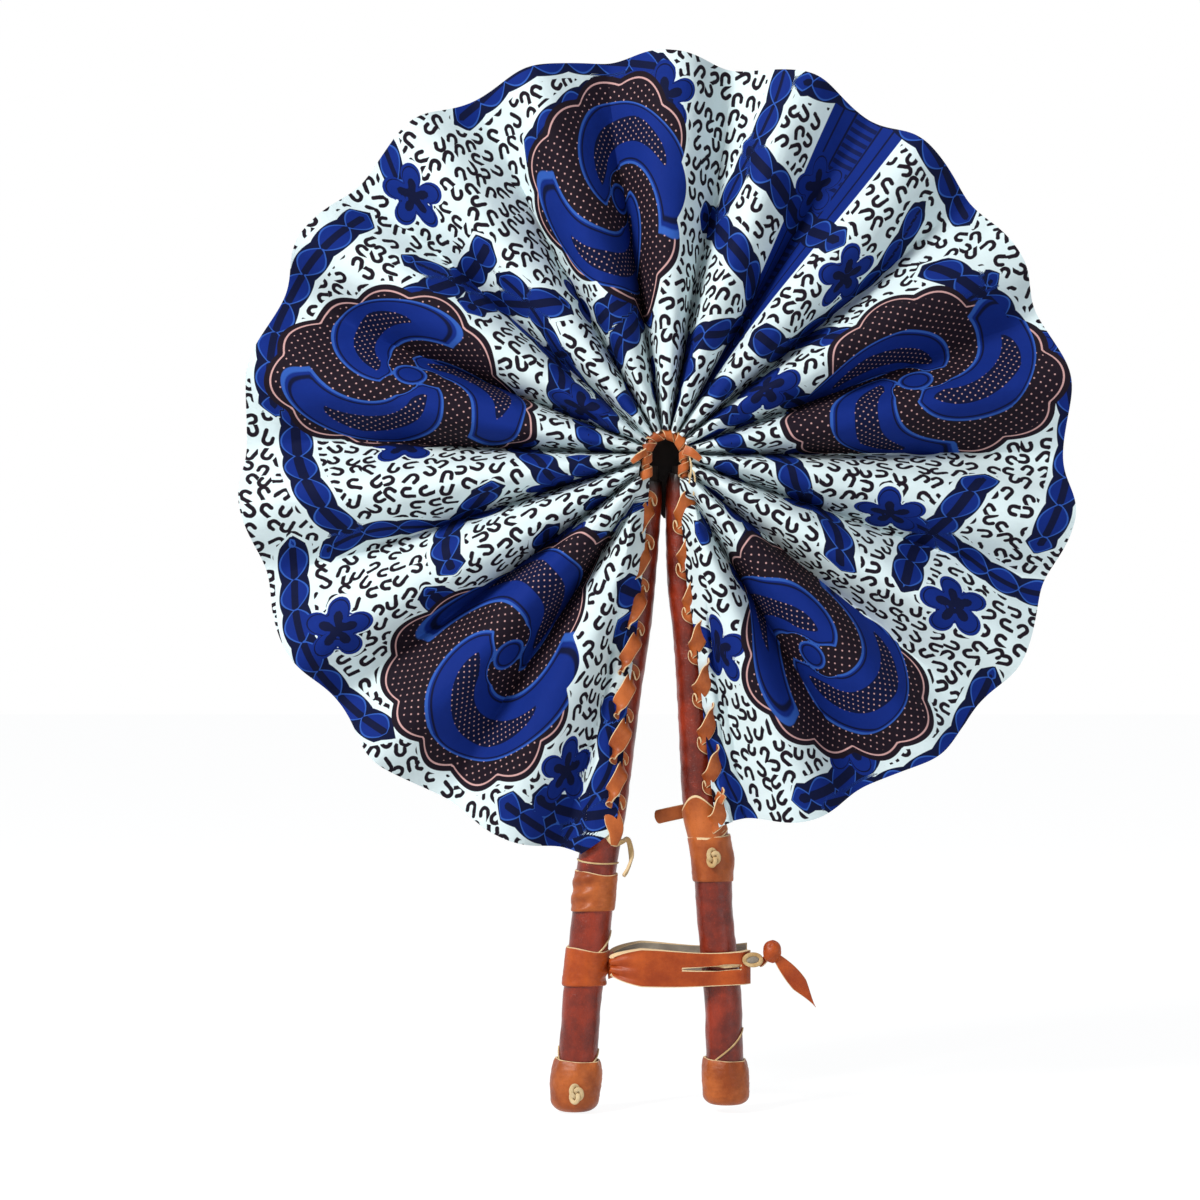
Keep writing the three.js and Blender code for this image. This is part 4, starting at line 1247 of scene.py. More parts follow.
BAND_WALL = 0.65 * MM
CUFF_WALL = 0.8 * MM
left_folds = creases(depth=0.55 * MM, place=-0.8, width=0.8, count=5)
right_folds = creases(depth=0.3 * MM, place=0.9, width=0.9, count=3)
cuff_folds = creases(depth=0.45 * MM, place=1.4, width=0.5, count=5)
bands = [
    make_band("left_shoulder_band", BAND_WALL, 1.6 * MM, left_folds, "left_stick", TAN),
    make_band("right_shoulder_band", BAND_WALL, -0.8 * MM, right_folds, "right_stick", TAN),
    make_band("strap_cuff", CUFF_WALL, 1.6 * MM, cuff_folds, "left_stick", STRAP),
]
print("bands:", [band.name for band in bands])

# %% [markdown]
# ## The patch and the laps of the hide
#
# Above the right band a pointed flap of tan hide covers the end of the lacing, and thin pale lines show
# where the strips of hide overlap. A boolean cut would give the flap its outline, but it is simpler to
# bend a grid between an upper and a lower line, and to lay a thin strip along each lap.

# %% Patch above the right band
def make_patch(name, label, turns, tops, bottoms, lift, wall, material):
    """A piece of hide, wrapped round a stick between two turns and cut by an upper and a lower line."""
    columns, rows = 50, 24
    s = np.linspace(0, 1, columns)[None, :]
    t = np.linspace(0, 1, rows)[:, None]
    turn = turns[0] + (turns[1] - turns[0]) * s
    z = drop_to_z(tops(s) + (bottoms(s) - tops(s)) * t)
    outer = on_stick(label, z, turn, lift + 0.12 * MM * np.sin(9 * s + 4 * t))
    inner = on_stick(label, z, turn, lift - wall)
    border = np.minimum(np.minimum(s, 1 - s) * columns, np.minimum(t, 1 - t) * rows)
    edge = np.clip(1.6 - border, 0, 1)
    marks = {"raw_edge": np.concatenate([edge, edge[:, ::-1]], 1)}
    patch = grid_piece(name, np.concatenate([outer, inner[:, ::-1]], 1), wrap=True, caps=True, marks=marks)
    patch.data.set_sharp_from_angle(angle=math.radians(60))
    return dress(patch, material, label + "_stick")


def patch_top(s):
    """The patch's upper line: a point that rises by the square of a sine."""
    return 115.2 * MM - 5.0 * MM * np.sin(np.pi * np.clip(s * 1.15, 0, 1)) ** 2


def patch_bottom(s):
    """The patch's lower line, which lies in the band but rises on the right."""
    return 124.6 * MM - 3.2 * MM * np.clip((s - 0.62) / 0.38, 0, 1) ** 1.5


right_patch = make_patch(
    "right_shoulder_patch", "right", (-1.5, 1.25), patch_top, patch_bottom, 0.55 * MM, 0.5 * MM, TAN
)
print("patch:", right_patch.name)

# %% Lap lines of the hide
LAP_HALF_WIDTH = 0.28 * MM
LAP_LIFT = 0.22 * MM
# Each lap's stick, and the turn and the drop in millimetres at its two ends
LAP_LINES = [
    ("left", (-1.5, 131.2), (1.5, 132.4)),
    ("left", (0.4, 162.0), (1.6, 154.5)),
    ("left", (-1.6, 192.0), (-0.9, 198.0)),
    ("left", (0.6, 198.0), (1.6, 193.0)),
    ("right", (-1.1, 198.4), (1.4, 186.0)),
    ("right", (-1.3, 127.0), (1.0, 121.5)),
]


def make_lap_line(number, label, start, end):
    """The pale edge of an overlap: a thin strip on the sleeve from one turn and drop to another."""
    share = np.linspace(0, 1, 40)
    turn = start[0] + (end[0] - start[0]) * share
    drop = start[1] + (end[1] - start[1]) * share + 0.5 * np.sin(np.pi * share)
    line = on_stick(label, drop_to_z(drop * MM), turn, LAP_LIFT)
    off = on_stick(label, drop_to_z(drop * MM), turn, 2 * LAP_LIFT) - line
    wide = np.cross(np.gradient(line, axis=0), off)
    lap = strip(f"lap_line_{number}", line, wide, LAP_HALF_WIDTH, LAP_LIFT, sides=10)
    return dress(lap, RAWHIDE, label + "_stick")


lap_lines = [make_lap_line(number, *plan) for number, plan in enumerate(LAP_LINES)]
print("lap lines:", len(lap_lines))

# %% [markdown]
# ## The end caps
#
# A cap is a cup of wet leather that dried on the stick's end, with a flat round sole to stand on. A
# lathe shape with a bevel would come close, but the stick leans. So a profile is carried round the
# stick's own line, and the upper edge fans out in small folds.

# %% End caps
FIT_GAP = 0.3 * MM
CAP_WALL = 1.3 * MM
CAP_TOP_WALL = 0.45 * MM
SOLE_SHARES = {"left": 0.45, "right": 0.55}


def make_cap(label, bulge):
    """A profile carried round the stick: down the side with a bulge, round the corner and over the sole."""
    name = label + "_end_cap"
    top, sole = ends_of(name)
    columns, inner_rows = 96, 5
    turn = np.linspace(0, 2 * np.pi, columns, endpoint=False)[None, :]

    def ruffle(drop):
        """The upper edge's slant, which fades down the cap."""
        return 0.5 * MM * np.sin(turn + 0.5) * np.exp(-(((drop - top) / (3 * MM)) ** 2))

    outer = stick_at(label, drop_to_z(sole))[1] + FIT_GAP + CAP_WALL
    corner = outer * (1 - SOLE_SHARES[label])
    side = np.linspace(0, 1, 40)[:, None]
    side_drop = top + (sole - corner - top) * side
    thinning = (CAP_WALL - CAP_TOP_WALL) * np.clip(1 - side / 0.4, 0, 1) ** 1.6
    side_out = outer + bulge * np.sin(np.pi * side) - thinning
    arc = np.linspace(0, np.pi / 2, 16)[1:, None]
    arc_drop = sole - corner + corner * np.sin(arc)
    arc_out = outer - corner + corner * np.cos(arc)
    flat = np.linspace(1, 0.02, 10)[1:, None]
    drop = np.concatenate([side_drop, arc_drop, sole + 0 * flat])
    out = np.concatenate([side_out, arc_out, (outer - corner) * flat])
    wrinkle = 0.16 * MM * soft_noise((len(drop), columns), 2, 11, wrap=True)
    fan = 0.3 * MM * np.sin(7 * turn + 1) * np.exp(-(((drop - top) / (4 * MM)) ** 2))
    steady = np.clip((sole - drop) / (2 * MM), 0, 1)
    out = out + (wrinkle + fan) * steady
    middle = stick_at(label, drop_to_z(drop))[0]
    z = drop_to_z(drop + ruffle(drop))
    shell = np.stack(np.broadcast_arrays(middle + out * np.sin(turn), -out * np.cos(turn), z), -1)
    inner_drop = np.linspace(top, top + 6 * MM, inner_rows)[:, None]
    inner_out = outer - CAP_WALL + 0 * inner_drop
    inner_x = middle[:inner_rows] + inner_out * np.sin(turn)
    inner_z = drop_to_z(inner_drop + ruffle(inner_drop))
    inner = np.stack(np.broadcast_arrays(inner_x, -inner_out * np.cos(turn), inner_z), -1)
    points = np.concatenate([inner[::-1], shell])
    edge = np.zeros(len(points))
    edge[inner_rows - 2 : inner_rows + 1] = [0.7, 1.0, 0.8]
    cap = grid_piece(name + "_leather", points, wrap=True, caps=True, marks={"raw_edge": edge[:, None]})
    cap.data.set_sharp_from_angle(angle=math.radians(70))
    return dress(cap, TAN, label + "_stick", name)


caps = [make_cap("left", 0.5 * MM), make_cap("right", 0.1 * MM)]
print("caps:", [cap.name for cap in caps])

# %% [markdown]
# ## The lacing
#
# A flat thong winds round each cloth edge and through the sleeve beside it. It could be a curve with a
# bevel, but a curve twists its section freely. Here one strip follows a spiral, and its broad side is
# turned off the spiral at every step. A strip of hide shows pale at both its cut edges, so the
# section's two narrow sides carry the raw_edge mark.

# %% Lacing
LACE_TOP = 12 * MM
LACE_PITCH = 14 * MM
LACE_TURNS = 7.5
LACE_LIFT = 2.45 * MM
LACE_HALF_WIDTH = 1.9 * MM
LACE_HALF_DEPTH = 1.3 * MM
LACE_PLUNGE = 3.2 * MM
THONG_WIDTH = 5.2 * MM
THONG_THICKNESS = 0.8 * MM
LACE_FRONT_SHARE = 0.7
LACE_AROUND = {"left": (10, -17), "right": (12, 32)}
SIDES = {"left": -1, "right": 1}


def lace_line(label, drop):
    """The middle of the lacing: on the sleeve's front, turned towards the leaf. Also the directions off
    the sleeve and towards the leaf."""
    share = (drop - LACE_TOP) / (LACE_TURNS * LACE_PITCH)
    top, bottom = LACE_AROUND[label]
    around = np.radians(top + (bottom - top) * share)
    side = SIDES[label]
    zero = 0 * around
    deep = np.stack([side * np.sin(around), -np.cos(around), zero], -1)
    wide = np.stack([side * np.cos(around), np.sin(around), zero], -1)
    x, radius = stick_at(label, drop_to_z(drop))
    middle = np.stack([x, zero, drop_to_z(drop)], -1) + deep * (radius + LACE_LIFT)[..., None]
    return middle, deep, wide


def make_lacing(label):
    """A spiral round the lacing line. Across it goes by the turn's cosine and in depth by a power of its
    sine, which makes a flat front. On the stick's side it dips into the sleeve. Beside its even fall, it
    falls by a share of the cosine, so that the passes in front slant."""
    steps = 560
    hand = SIDES[label]
    turn = np.linspace(0, LACE_TURNS * 2 * np.pi, steps)
    fall = turn - LACE_FRONT_SHARE * (np.cos(turn) - 1) * hand
    middle, deep, wide = lace_line(label, LACE_TOP + fall / (2 * np.pi) * LACE_PITCH)
    cosine = np.cos(turn)[:, None]
    sine = hand * np.sin(turn)[:, None]
    plunge = LACE_PLUNGE * np.clip(-cosine, 0, 1) ** 3
    depth = power_sign(sine, 0.4) * LACE_HALF_DEPTH - plunge
    path = middle + cosine * wide * LACE_HALF_WIDTH + depth * deep
    steep = 2.5 * power_sign(sine, 1.6)
    off = unit(cosine / LACE_HALF_WIDTH * wide + steep / LACE_HALF_DEPTH * deep)
    tangent = unit(np.gradient(path, axis=0))
    across = np.cross(tangent, off)
    uneven = 1 + 0.1 * np.sin(turn * 0.7 + 1) + 0.05 * np.sin(turn * 2.3)
    half = THONG_WIDTH / 2 * uneven
    lacing = strip(label + "_lacing_thong", path, across, half, THONG_THICKNESS / 2, sides=16, power=4.0)
    return dress(lacing, TAN, label + "_stick", label + "_edge_lacing")


lacings = [make_lacing(label) for label in ("left", "right")]
print("lacings:", [lacing.name for lacing in lacings])

# %% [markdown]
# ## The hems
#
# Both ends of the cloth strip lie beside the sticks, turned over and laced. A hem could be a flat strip
# of its own, but then a step would show. So each row of its grid starts at the lacing and ends on the
# leaf's own surface, and the print goes on across the join.

# %% Hems
HEM_TOP = 7 * MM
HEM_LIP = 1.1 * MM
HEM_ROWS = 150
HEM_COLUMNS = 14
HEM_BELOW_LACING = 3.5 * MM
HEM_CORNERS = {"left": 0.32, "right": FACE_COUNT - 1.35}
LEANS = {"left": LEFT_LEAN, "right": RIGHT_LEAN}
EDGES = {"left": LEFT_EDGE, "right": RIGHT_EDGE}


def hem_edge(label, drop):
    """The line where the leaf takes over, on the upright plane at the hem's edge, and its leaf places."""
    lean, edge = LEANS[label], EDGES[label]
    along = (drop + edge * math.sin(lean)) / math.cos(lean)
    radius = np.hypot(along, edge)
    turn = np.arctan2(edge, along) / FACE_STEP
    c = turn if label == "left" else FACE_COUNT - 1 - turn
    return leaf_points(c, radius), c, radius


def make_hem(label):
    """Straight from the lacing to the leaf, with a swell of a half sine between them."""
    lean, edge = LEANS[label], EDGES[label]
    bottom_inner = LACE_TOP + LACE_TURNS * LACE_PITCH + HEM_BELOW_LACING
    reach = float(rim_radius(np.array(HEM_CORNERS[label])))
    bottom_outer = reach * math.cos(lean) - edge * math.sin(lean)
    t = np.linspace(0, 1, HEM_COLUMNS)[None, :]
    s = np.linspace(0, 1, HEM_ROWS)[:, None]
    drop = HEM_TOP + s * (bottom_inner + (bottom_outer - bottom_inner) * t**0.8 - HEM_TOP)
    middle, _, wide = lace_line(label, drop)
    inner = middle - wide * HEM_LIP
    outer, c_edge, r_edge = hem_edge(label, drop)
    points = inner + (outer - inner) * t[..., None]
    points[..., 1] -= 1.5 * MM * np.sin(np.pi * t**1.6) * t * np.clip(drop / (40 * MM), 0, 1)
    points[..., 1] -= 0.25 * MM * np.sin(drop / (9 * MM)) * np.sin(np.pi * t)
    across = np.linalg.norm(points - outer, axis=-1) / MM
    u = strip_place(c_edge, r_edge, ridge_of(c_edge)) + (-across if label == "left" else across)
    hem = cloth_piece(label + "_hem_cloth", points, u, r_edge / MM + 0 * u)
    return dress(hem, COTTON, label + "_stick", label + "_cloth_hem")


hems = {label: make_hem(label) for label in ("left", "right")}
print("hems:", [hem.name for hem in hems.values()])

# %% [markdown]
# ## Knots and loose ends
#
# Studs of pale hide are knotted through the left cap and the right band, and thong ends stick out where
# they were cut. A knot could be sculpted by hand, but a closed curve that runs round a ring twice while
# it winds three times already looks tied. A loose end is a short strip through a few chosen points.

# %% Knots
KNOT_SHAPE = np.array([0.95, 0.9, 1.4])
KNOT_SHIFT = np.array([0, 0.5 * MM, 0])


def knot_line(radius, count=150):
    """A trefoil: (2 + cos(1.5 a)) / 2 round the ring at the angle a, and sin(1.5 a) / 2 off its plane."""
    a = np.linspace(0, 4 * np.pi, count, endpoint=False)
    out = radius * (2 + np.cos(1.5 * a)) / 2
    return np.stack([out * np.cos(a), -radius * np.sin(1.5 * a) / 2, out * np.sin(a)], -1)


def closed_strip(name, middles, half_width, half_thickness, flat_towards, sides=10):
    """A strip whose line closes on itself. Its wide side lies square to a given direction."""
    tangents = unit(np.roll(middles, -1, 0) - np.roll(middles, 1, 0))
    deep = unit(flat_towards - (tangents @ flat_towards)[:, None] * tangents)
    wide = np.cross(tangents, deep)
    turn = np.linspace(0, 2 * np.pi, sides, endpoint=False)
    across = power_sign(np.cos(turn), 0.6)
    through = power_sign(np.sin(turn), 0.6)
    points = middles[:, None] + half_width * across[:, None] * wide[:, None]
    points = points + half_thickness * through[:, None] * deep[:, None]
    return grid_piece(name, points, wrap=True, wrap_rows=True)


def make_knot(name, radius, half_width, half_thickness, body):
    """A pale knot in the middle of the model's own box for it."""
    middles = knot_line(radius) * KNOT_SHAPE + node_middle(name) + KNOT_SHIFT
    knot = closed_strip(name + "_tied", middles, half_width, half_thickness, np.array([0, -1.0, 0]))
    return dress(knot, RAWHIDE, body, name)


def slightly_uneven(share):
    """The width of a strip that was cut by hand."""
    return 1 + 0.08 * np.sin(11 * share)


def round_start(share):
    """A width that grows by a quarter circle over the first twelfth."""
    grown = np.sqrt(np.clip(1 - (1 - share * 12) ** 2, 0, 1))
    return np.where(share < 1 / 12, np.maximum(grown, 0.15), 1.0)


def torn(share):
    """A width that swells by a half sine and is narrower at the far end."""
    return 0.7 + 0.5 * np.sin(np.pi * share) - 0.3 * share


def narrowing(first, loss):
    """A width that falls by a loss times the square of the share."""
    return lambda share: first - loss * share**2


def piece_strip(
    name, knots, half_width, half_thickness, body, material, wide,
    count=60, taper=slightly_uneven, node_name=None,
):
    """A strip through a few chosen points, in millimetres from the hub: X, depth and drop. wide is the
    direction of its broad side, and taper its width along the line."""
    knots = np.array(knots, float) * MM
    places = np.stack([knots[:, 0], knots[:, 1], HUB_HEIGHT - knots[:, 2]], -1)
    middles = smooth_line(places, count)
    width = half_width * taper(np.linspace(0, 1, count))
    wide = np.broadcast_to(np.asarray(wide, float), middles.shape)
    made = strip(name, middles, wide, width, half_thickness, sides=14, power=4.0)
    return dress(made, material, body, node_name)


shoulder_knot = piece_strip(
    "left_shoulder_thong",
    [
        (-20.2, -3.6, 121.0), (-18.6, -6.6, 123.6), (-16.4, -7.7, 125.8),
        (-14.0, -6.8, 125.2), (-12.2, -4.2, 124.6), (-11.2, -3.0, 127.5),
        (-11.0, -3.2, 131.0), (-12.2, -4.6, 134.4), (-13.4, -5.9, 136.2),
    ],
    0.85 * MM, 0.55 * MM, "left_stick", RAWHIDE, (0.3, -0.2, 1), count=120, node_name="left_shoulder_knot",
)
cap_stud = make_knot("left_cap_stud", 1.35 * MM, 0.72 * MM, 0.42 * MM, "left_stick")
band_stud = make_knot("right_band_stud", 1.3 * MM, 0.7 * MM, 0.42 * MM, "right_stick")
print("knots:", shoulder_knot.name, cap_stud.name, band_stud.name)

# %% Loose ends
loose_ends = [
    piece_strip(
        "right_lace_tongue",
        [(-3.2, 7.2, 118.3), (0.5, 7.1, 117.4), (7, 7.1, 116), (13, 7.0, 114.8), (15.8, 6.9, 114.4)],
        2.3 * MM, 0.75 * MM, "right_stick", TAN, (0, 0, 1), taper=round_start, node_name="right_lace_end",
    ),
    piece_strip(
        "left_shoulder_tail",
        [(-18.2, -6.2, 113.0), (-17.0, -7.6, 117.5), (-16.0, -8.0, 121.5), (-16.6, -7.9, 126.4)],
        2.7 * MM, 0.5 * MM, "left_stick", TAN, (1, 0.1, 0.25), taper=torn,
    ),
    piece_strip(
        "right_lace_stub", [(16.6, -8.2, 110.2), (17.6, -9.4, 110.9), (18.9, -10.1, 111.7)],
        1.6 * MM, 0.5 * MM, "right_stick", TAN, (0.2, -0.1, 1),
    ),
]
print("loose ends:", [piece.name for piece in loose_ends])

# %% [markdown]
# ## The collar
#
# The gathered edge of the cloth is whipped with a thong to a small arch of cord. A row of rings would
# look much the same, but one thong winds on the real fan. Cord and thong follow the same line: up one
# leg, over the hub in a half circle and down the other leg.

# %% Collar
COLLAR_RADIUS = 6.1 * MM
COLLAR_LEG = 7.6 * MM
COLLAR_WRAP = 1.25 * MM
COLLAR_LOOSENESS = 1.15
COLLAR_TURNS = 8
COLLAR_THONG_HALF_WIDTH = 1.35 * MM
COLLAR_THONG_HALF_THICKNESS = 0.42 * MM
COLLAR_CORD_RADIUS = 1.0 * MM


def collar_line(share):
    """A place along the collar, with the direction away from the hub."""
    arch = math.pi * COLLAR_RADIUS
    along = share * (arch + 2 * COLLAR_LEG)
    turn = np.clip((along - COLLAR_LEG) / COLLAR_RADIUS, 0, np.pi)
    wide = np.stack([-np.cos(turn), 0 * turn, np.sin(turn)], -1)
    middle = wide * COLLAR_RADIUS
    middle[:, 1] = -LEAF_DEPTH
    past_first_leg = along - COLLAR_LEG
    middle[:, 2] += HUB_HEIGHT + np.minimum(past_first_leg, 0) - np.maximum(past_first_leg - arch, 0)
    return middle, wide


def make_collar():
    """The thong, wound round the collar's line, and the cord inside it."""
    share = np.linspace(0, 1, 420)
    middle, wide = collar_line(share)
    turn = share * COLLAR_TURNS * 2 * np.pi
    deep = np.broadcast_to(np.array([0, -1.0, 0]), middle.shape)
    uneven = (1 + 0.12 * np.sin(turn * 0.37 + 2) + 0.08 * np.sin(turn * 0.83))[:, None]
    out = np.cos(turn)[:, None] * wide + np.sin(turn)[:, None] * deep
    path = middle + out * COLLAR_WRAP * COLLAR_LOOSENESS * uneven
    across = np.cross(unit(np.gradient(path, axis=0)), unit(out))
    half = COLLAR_THONG_HALF_WIDTH * uneven[:, 0]
    thong = strip("hub_collar_thong", path, across, half, COLLAR_THONG_HALF_THICKNESS, sides=14, power=4.0)
    core_turn = np.linspace(0, 2 * np.pi, 20, endpoint=False)[None, :, None]
    ring = np.cos(core_turn) * wide[::4, None] + np.sin(core_turn) * deep[::4, None]
    core = grid_piece("hub_collar_cord", middle[::4, None] + ring * COLLAR_CORD_RADIUS, wrap=True, caps=True)
    return dress(thong, TAN, "left_stick", "hub_collar"), dress(core, TAN, "left_stick")


collar = make_collar()
print("collar:", [piece.name for piece in collar])

# %% [markdown]
# ## Behind the hub
#
# What the sticks swing on is hidden. It could be a pin, but a leather tab behind both tops is softer
# and fits a laced fan. The tab is near black, and it reaches above the hub and down between the sticks,
# as painted shade in the hub. Cut ends of the thong and two loose fibres stand off the collar.

# %% Hinge tab and thong ends at the hub
# How far the tab's tongue of painted shade reaches down between the sticks.
SHADE_TONGUE = 9 * MM


def make_tab():
    """A leather tab with round upper corners, a little dished, whose tongue comes to a point between the
    sticks. Its near-black colour, its top above the hub and its tongue are painted shade in the hub."""
    low, high = (np.array(corner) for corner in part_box("hub_hinge_tab"))
    columns, rows = 30, 30
    s, t = np.meshgrid(np.linspace(-1, 1, columns), np.linspace(0, 1, rows))
    round_off = 1 - 0.25 * np.clip((t - 0.75) / 0.25, 0, 1) ** 2
    x = (low[0] + high[0]) / 2 + s * (high[0] - low[0]) / 2 * round_off
    # The top stands well above the hub, so that painted shade fills the arch of the collar.
    top = HUB_HEIGHT + 6.6 * MM - 3.5 * MM * s**2
    bottom = low[2] - SHADE_TONGUE * (1 - np.abs(s) ** 0.8)
    z = bottom + t * (top - bottom)
    y = low[1] + 0.25 * MM * (1 - s**2)
    front = np.stack([x, y, z], -1)
    back = front + np.array([0, (high[1] - low[1]) * 0.9, 0])
    tab = grid_piece("hub_hinge_leather", np.concatenate([front, back[:, ::-1]], 1), wrap=True, caps=True)
    tab.data.set_sharp_from_angle(angle=math.radians(50))
    return dress(tab, HINGE_PAINTED_SHADE, "left_stick", "hub_hinge_tab")


tab = make_tab()
thong_ends = [
    piece_strip(
        "collar_thong_end_left", [(-6.2, -12.2, -0.6), (-8.4, -13.4, 0.8), (-10.9, -13.2, 2.9)],
        1.3 * MM, 0.4 * MM, "left_stick", TAN, (0.5, -0.1, 1), taper=narrowing(1.05, 0.5),
    ),
    piece_strip(
        "collar_thong_end_right", [(6.0, -12.2, -1.2), (8.4, -13.5, -0.2), (11.2, -13.4, 2.0)],
        1.6 * MM, 0.4 * MM, "left_stick", TAN, (0.5, -0.1, 1), taper=narrowing(1.0, 0.45),
    ),
]
FIBRES = {
    "collar_fibre_one": [(7.0, -12.0, -1.5), (8.2, -12.6, 4.0), (7.6, -12.2, 9.6)],
    "collar_fibre_two": [(8.0, -12.1, 2.5), (9.4, -12.8, 8.0), (9.0, -12.2, 13.5)],
}
for name, knots in FIBRES.items():
    piece_strip(name, knots, 0.28 * MM, 0.2 * MM, "left_stick", RAWHIDE, (1, 0, 0))
print("hub:", tab.name, [piece.name for piece in thong_ends], list(FIBRES))

# %% [markdown]
# ## The strap
#
# A strap goes round the left handle, is pinched together beside it, and runs to the right in two
# strands, one in front of the right handle and one behind it. The front strand has a slit. A strand
# could be a solid, but a grid that the modifier Solidify makes thick gets suede on one side, leather on
# the other and a cut edge between them.

# %% The plan of the strands
STRAP_HEIGHT = (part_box("strap_cuff")[0][2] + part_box("strap_cuff")[1][2]) / 2
STRAND_HALF_WIDTH = 5.7 * MM
STRAND_THICKNESS = 1.5 * MM
STRAP_SPAN = 7.5 * MM
STRAP_BOW = 10 * MM
STRAP_END = 27 * MM
BACK_RISE = 1.0 * MM
STRAP_TURN = 3.2 * MM


def strand_plan(face, count):
    """Seen from above: a quarter of a sine wave from the pinch out to the span, then straight on. The front
    strand's end turns back by a parabola, round the handle."""
    x0, radius = stick_at("left", STRAP_HEIGHT)
    reach = radius + 2.6 * MM
    start = np.array([x0 + reach * math.cos(math.radians(28)), face * reach * math.sin(math.radians(28))])
    x = np.linspace(start[0], STRAP_END, count)
    share = np.clip((x - start[0]) / STRAP_BOW, 0, 1)
    y = start[1] + (face * STRAP_SPAN - start[1]) * np.sin(share * np.pi / 2)
    past = np.clip((x - STRAP_END + STRAP_TURN) / STRAP_TURN, 0, 1)
    return x, y - face * STRAP_TURN * 0.8 * past**2 * (face < 0)


print("strap at", round(STRAP_HEIGHT / MM, 1), "mm, strands", 2 * STRAP_SPAN / MM, "mm apart")

# %% Cinch
CINCH_HALF_LENGTH = 4.2 * MM
CINCH_HALF_WIDTH = 1.9 * MM
CINCH_CLEARANCE = 1.5 * MM


def make_cinch():
    """A crumpled tongue where the strap is drawn together beside the cuff: an upright strip with folds."""
    x0, radius = stick_at("left", STRAP_HEIGHT)
    t = np.linspace(-1, 1, 40)
    x = x0 + radius + CINCH_CLEARANCE + 0.5 * MM * (1 - t**2)
    line = np.stack([x, 0.2 * MM * np.sin(4 * t), STRAP_HEIGHT + CINCH_HALF_LENGTH * t], -1)
    wide = np.broadcast_to(np.array([1.0, -0.4, 0]), line.shape)
    half = CINCH_HALF_WIDTH * (0.75 + 0.25 * np.cos(3 * t)) * np.sqrt(np.clip(1.05 - t**2, 0.05, 1))
    plain = {"raw_edge": 0.0}
    cinch = strip("strap_cinch", line, wide, half, CINCH_HALF_WIDTH, sides=18, power=2.2, marks=plain)
    return dress(cinch, STRAP, "left_stick")


cinch = make_cinch()
print("cinch:", cinch.name)

# %% The slit and the thickness
SLIT_START = 5.2 * MM
SLIT_END = 24.4 * MM
SLIT_GAP = 0.85 * MM
SLIT_OPENING = 14 * MM
EDGE_ROUNDING = 0.3 * MM


def open_slit(x, z, centre):
    """Draws the two rows beside the middle apart by a square root. Also the quads that the slit leaves
    out, and a mark on the two rows."""
    inside = (x > SLIT_START) & (x < SLIT_END)
    gap = SLIT_GAP * np.sqrt(np.clip((x - SLIT_START) / SLIT_OPENING, 0, 1))
    lower, upper = len(z) // 2 - 1, len(z) // 2 + 1
    z[upper] = np.where(inside, centre + gap, z[upper])
    z[lower] = np.where(inside, centre - gap, z[lower])
    skipped = np.zeros((z.shape[0] - 1, z.shape[1] - 1), bool)
    skipped[lower:upper] = inside[:-1] & inside[1:]
    beside = np.zeros(z.shape)
    beside[[lower, upper]] = inside
    return skipped, beside


def thicken(strand, rim):
    """Gives a sheet of leather its thickness and rounds its edges. rim is the material of its cut edges."""
    thick = strand.modifiers.new("thickness", "SOLIDIFY")
    thick.material_offset = 1
    thick.material_offset_rim = rim
    thick.thickness = STRAND_THICKNESS
    thick.offset = 0
    round_edges = strand.modifiers.new("round edges", "BEVEL")
    round_edges.width = EDGE_ROUNDING
    round_edges.segments = 2
    round_edges.limit_method = "ANGLE"
    round_edges.angle_limit = math.radians(50)


print("slit", round((SLIT_END - SLIT_START) / MM, 1), "mm long")

# %% Strands
def make_strand(name, body, face, height, slit, back_material):
    """A flat band standing on edge, narrow and crumpled at the pinch. The crumple fades as e to the power
    of minus nine times the share of the way."""
    columns, rows = 130, 25
    x, y = strand_plan(face, columns)
    far = (x - x[0]) / (x[-1] - x[0])
    half = STRAND_HALF_WIDTH * (0.42 + 0.58 * np.clip(far * 4.5, 0, 1) ** 0.55)
    across = np.linspace(-1, 1, rows)[:, None]
    crumple = np.exp(-far * 9)
    depth = y + 0.7 * MM * crumple * np.sin(9 * across + 1) + 0.25 * MM * np.sin(7 * far + 2 * across)
    centre = height - 0.5 * MM * np.sin(np.pi * far)
    z = centre + across * half + 0.3 * MM * np.sin(5 * far) * across
    z = z + (0.5 * MM * np.sin(6 * far + 0.5)) * (across > 0) * across
    edge = np.clip(np.abs(across) - 0.955, 0, 0.045) / 0.045 + 0 * x
    edge = np.maximum(edge, np.clip((far - 0.985) / 0.015, 0, 1) * (across > 0.3))
    skipped = None
    if slit:
        skipped, beside = open_slit(x, z, centre)
        edge = np.maximum(edge, beside)
    points = np.stack(np.broadcast_arrays(x, depth, z), -1)
    strand = grid_piece(name, points, marks={"raw_edge": edge}, skip=skipped)
    front_material = STRAP if back_material is SUEDE else SUEDE
    dress(strand, front_material, body, body + "_strand")
    strand.data.materials.append(back_material)
    thicken(strand, rim=0 if front_material is STRAP else 1)
    return strand


back_height = STRAP_HEIGHT + BACK_RISE
strands = [
    make_strand("strap_front_leather", "strap_front", -1, STRAP_HEIGHT, slit=True, back_material=SUEDE),
    make_strand("strap_back_leather", "strap_back", 1, back_height, slit=False, back_material=STRAP),
]
print("strands:", [strand.name for strand in strands])

# %% [markdown]
# ## The toggle
#
# A thong from the back strand comes round the right handle to the pale loop at the front strand's end,
# and ends in a knot with a leaf-shaped tail. A knot could be tied along its real line, but at six
# millimetres across only the wraps on its outside show. So the knot is a ball whose radius swells along
# the wraps.

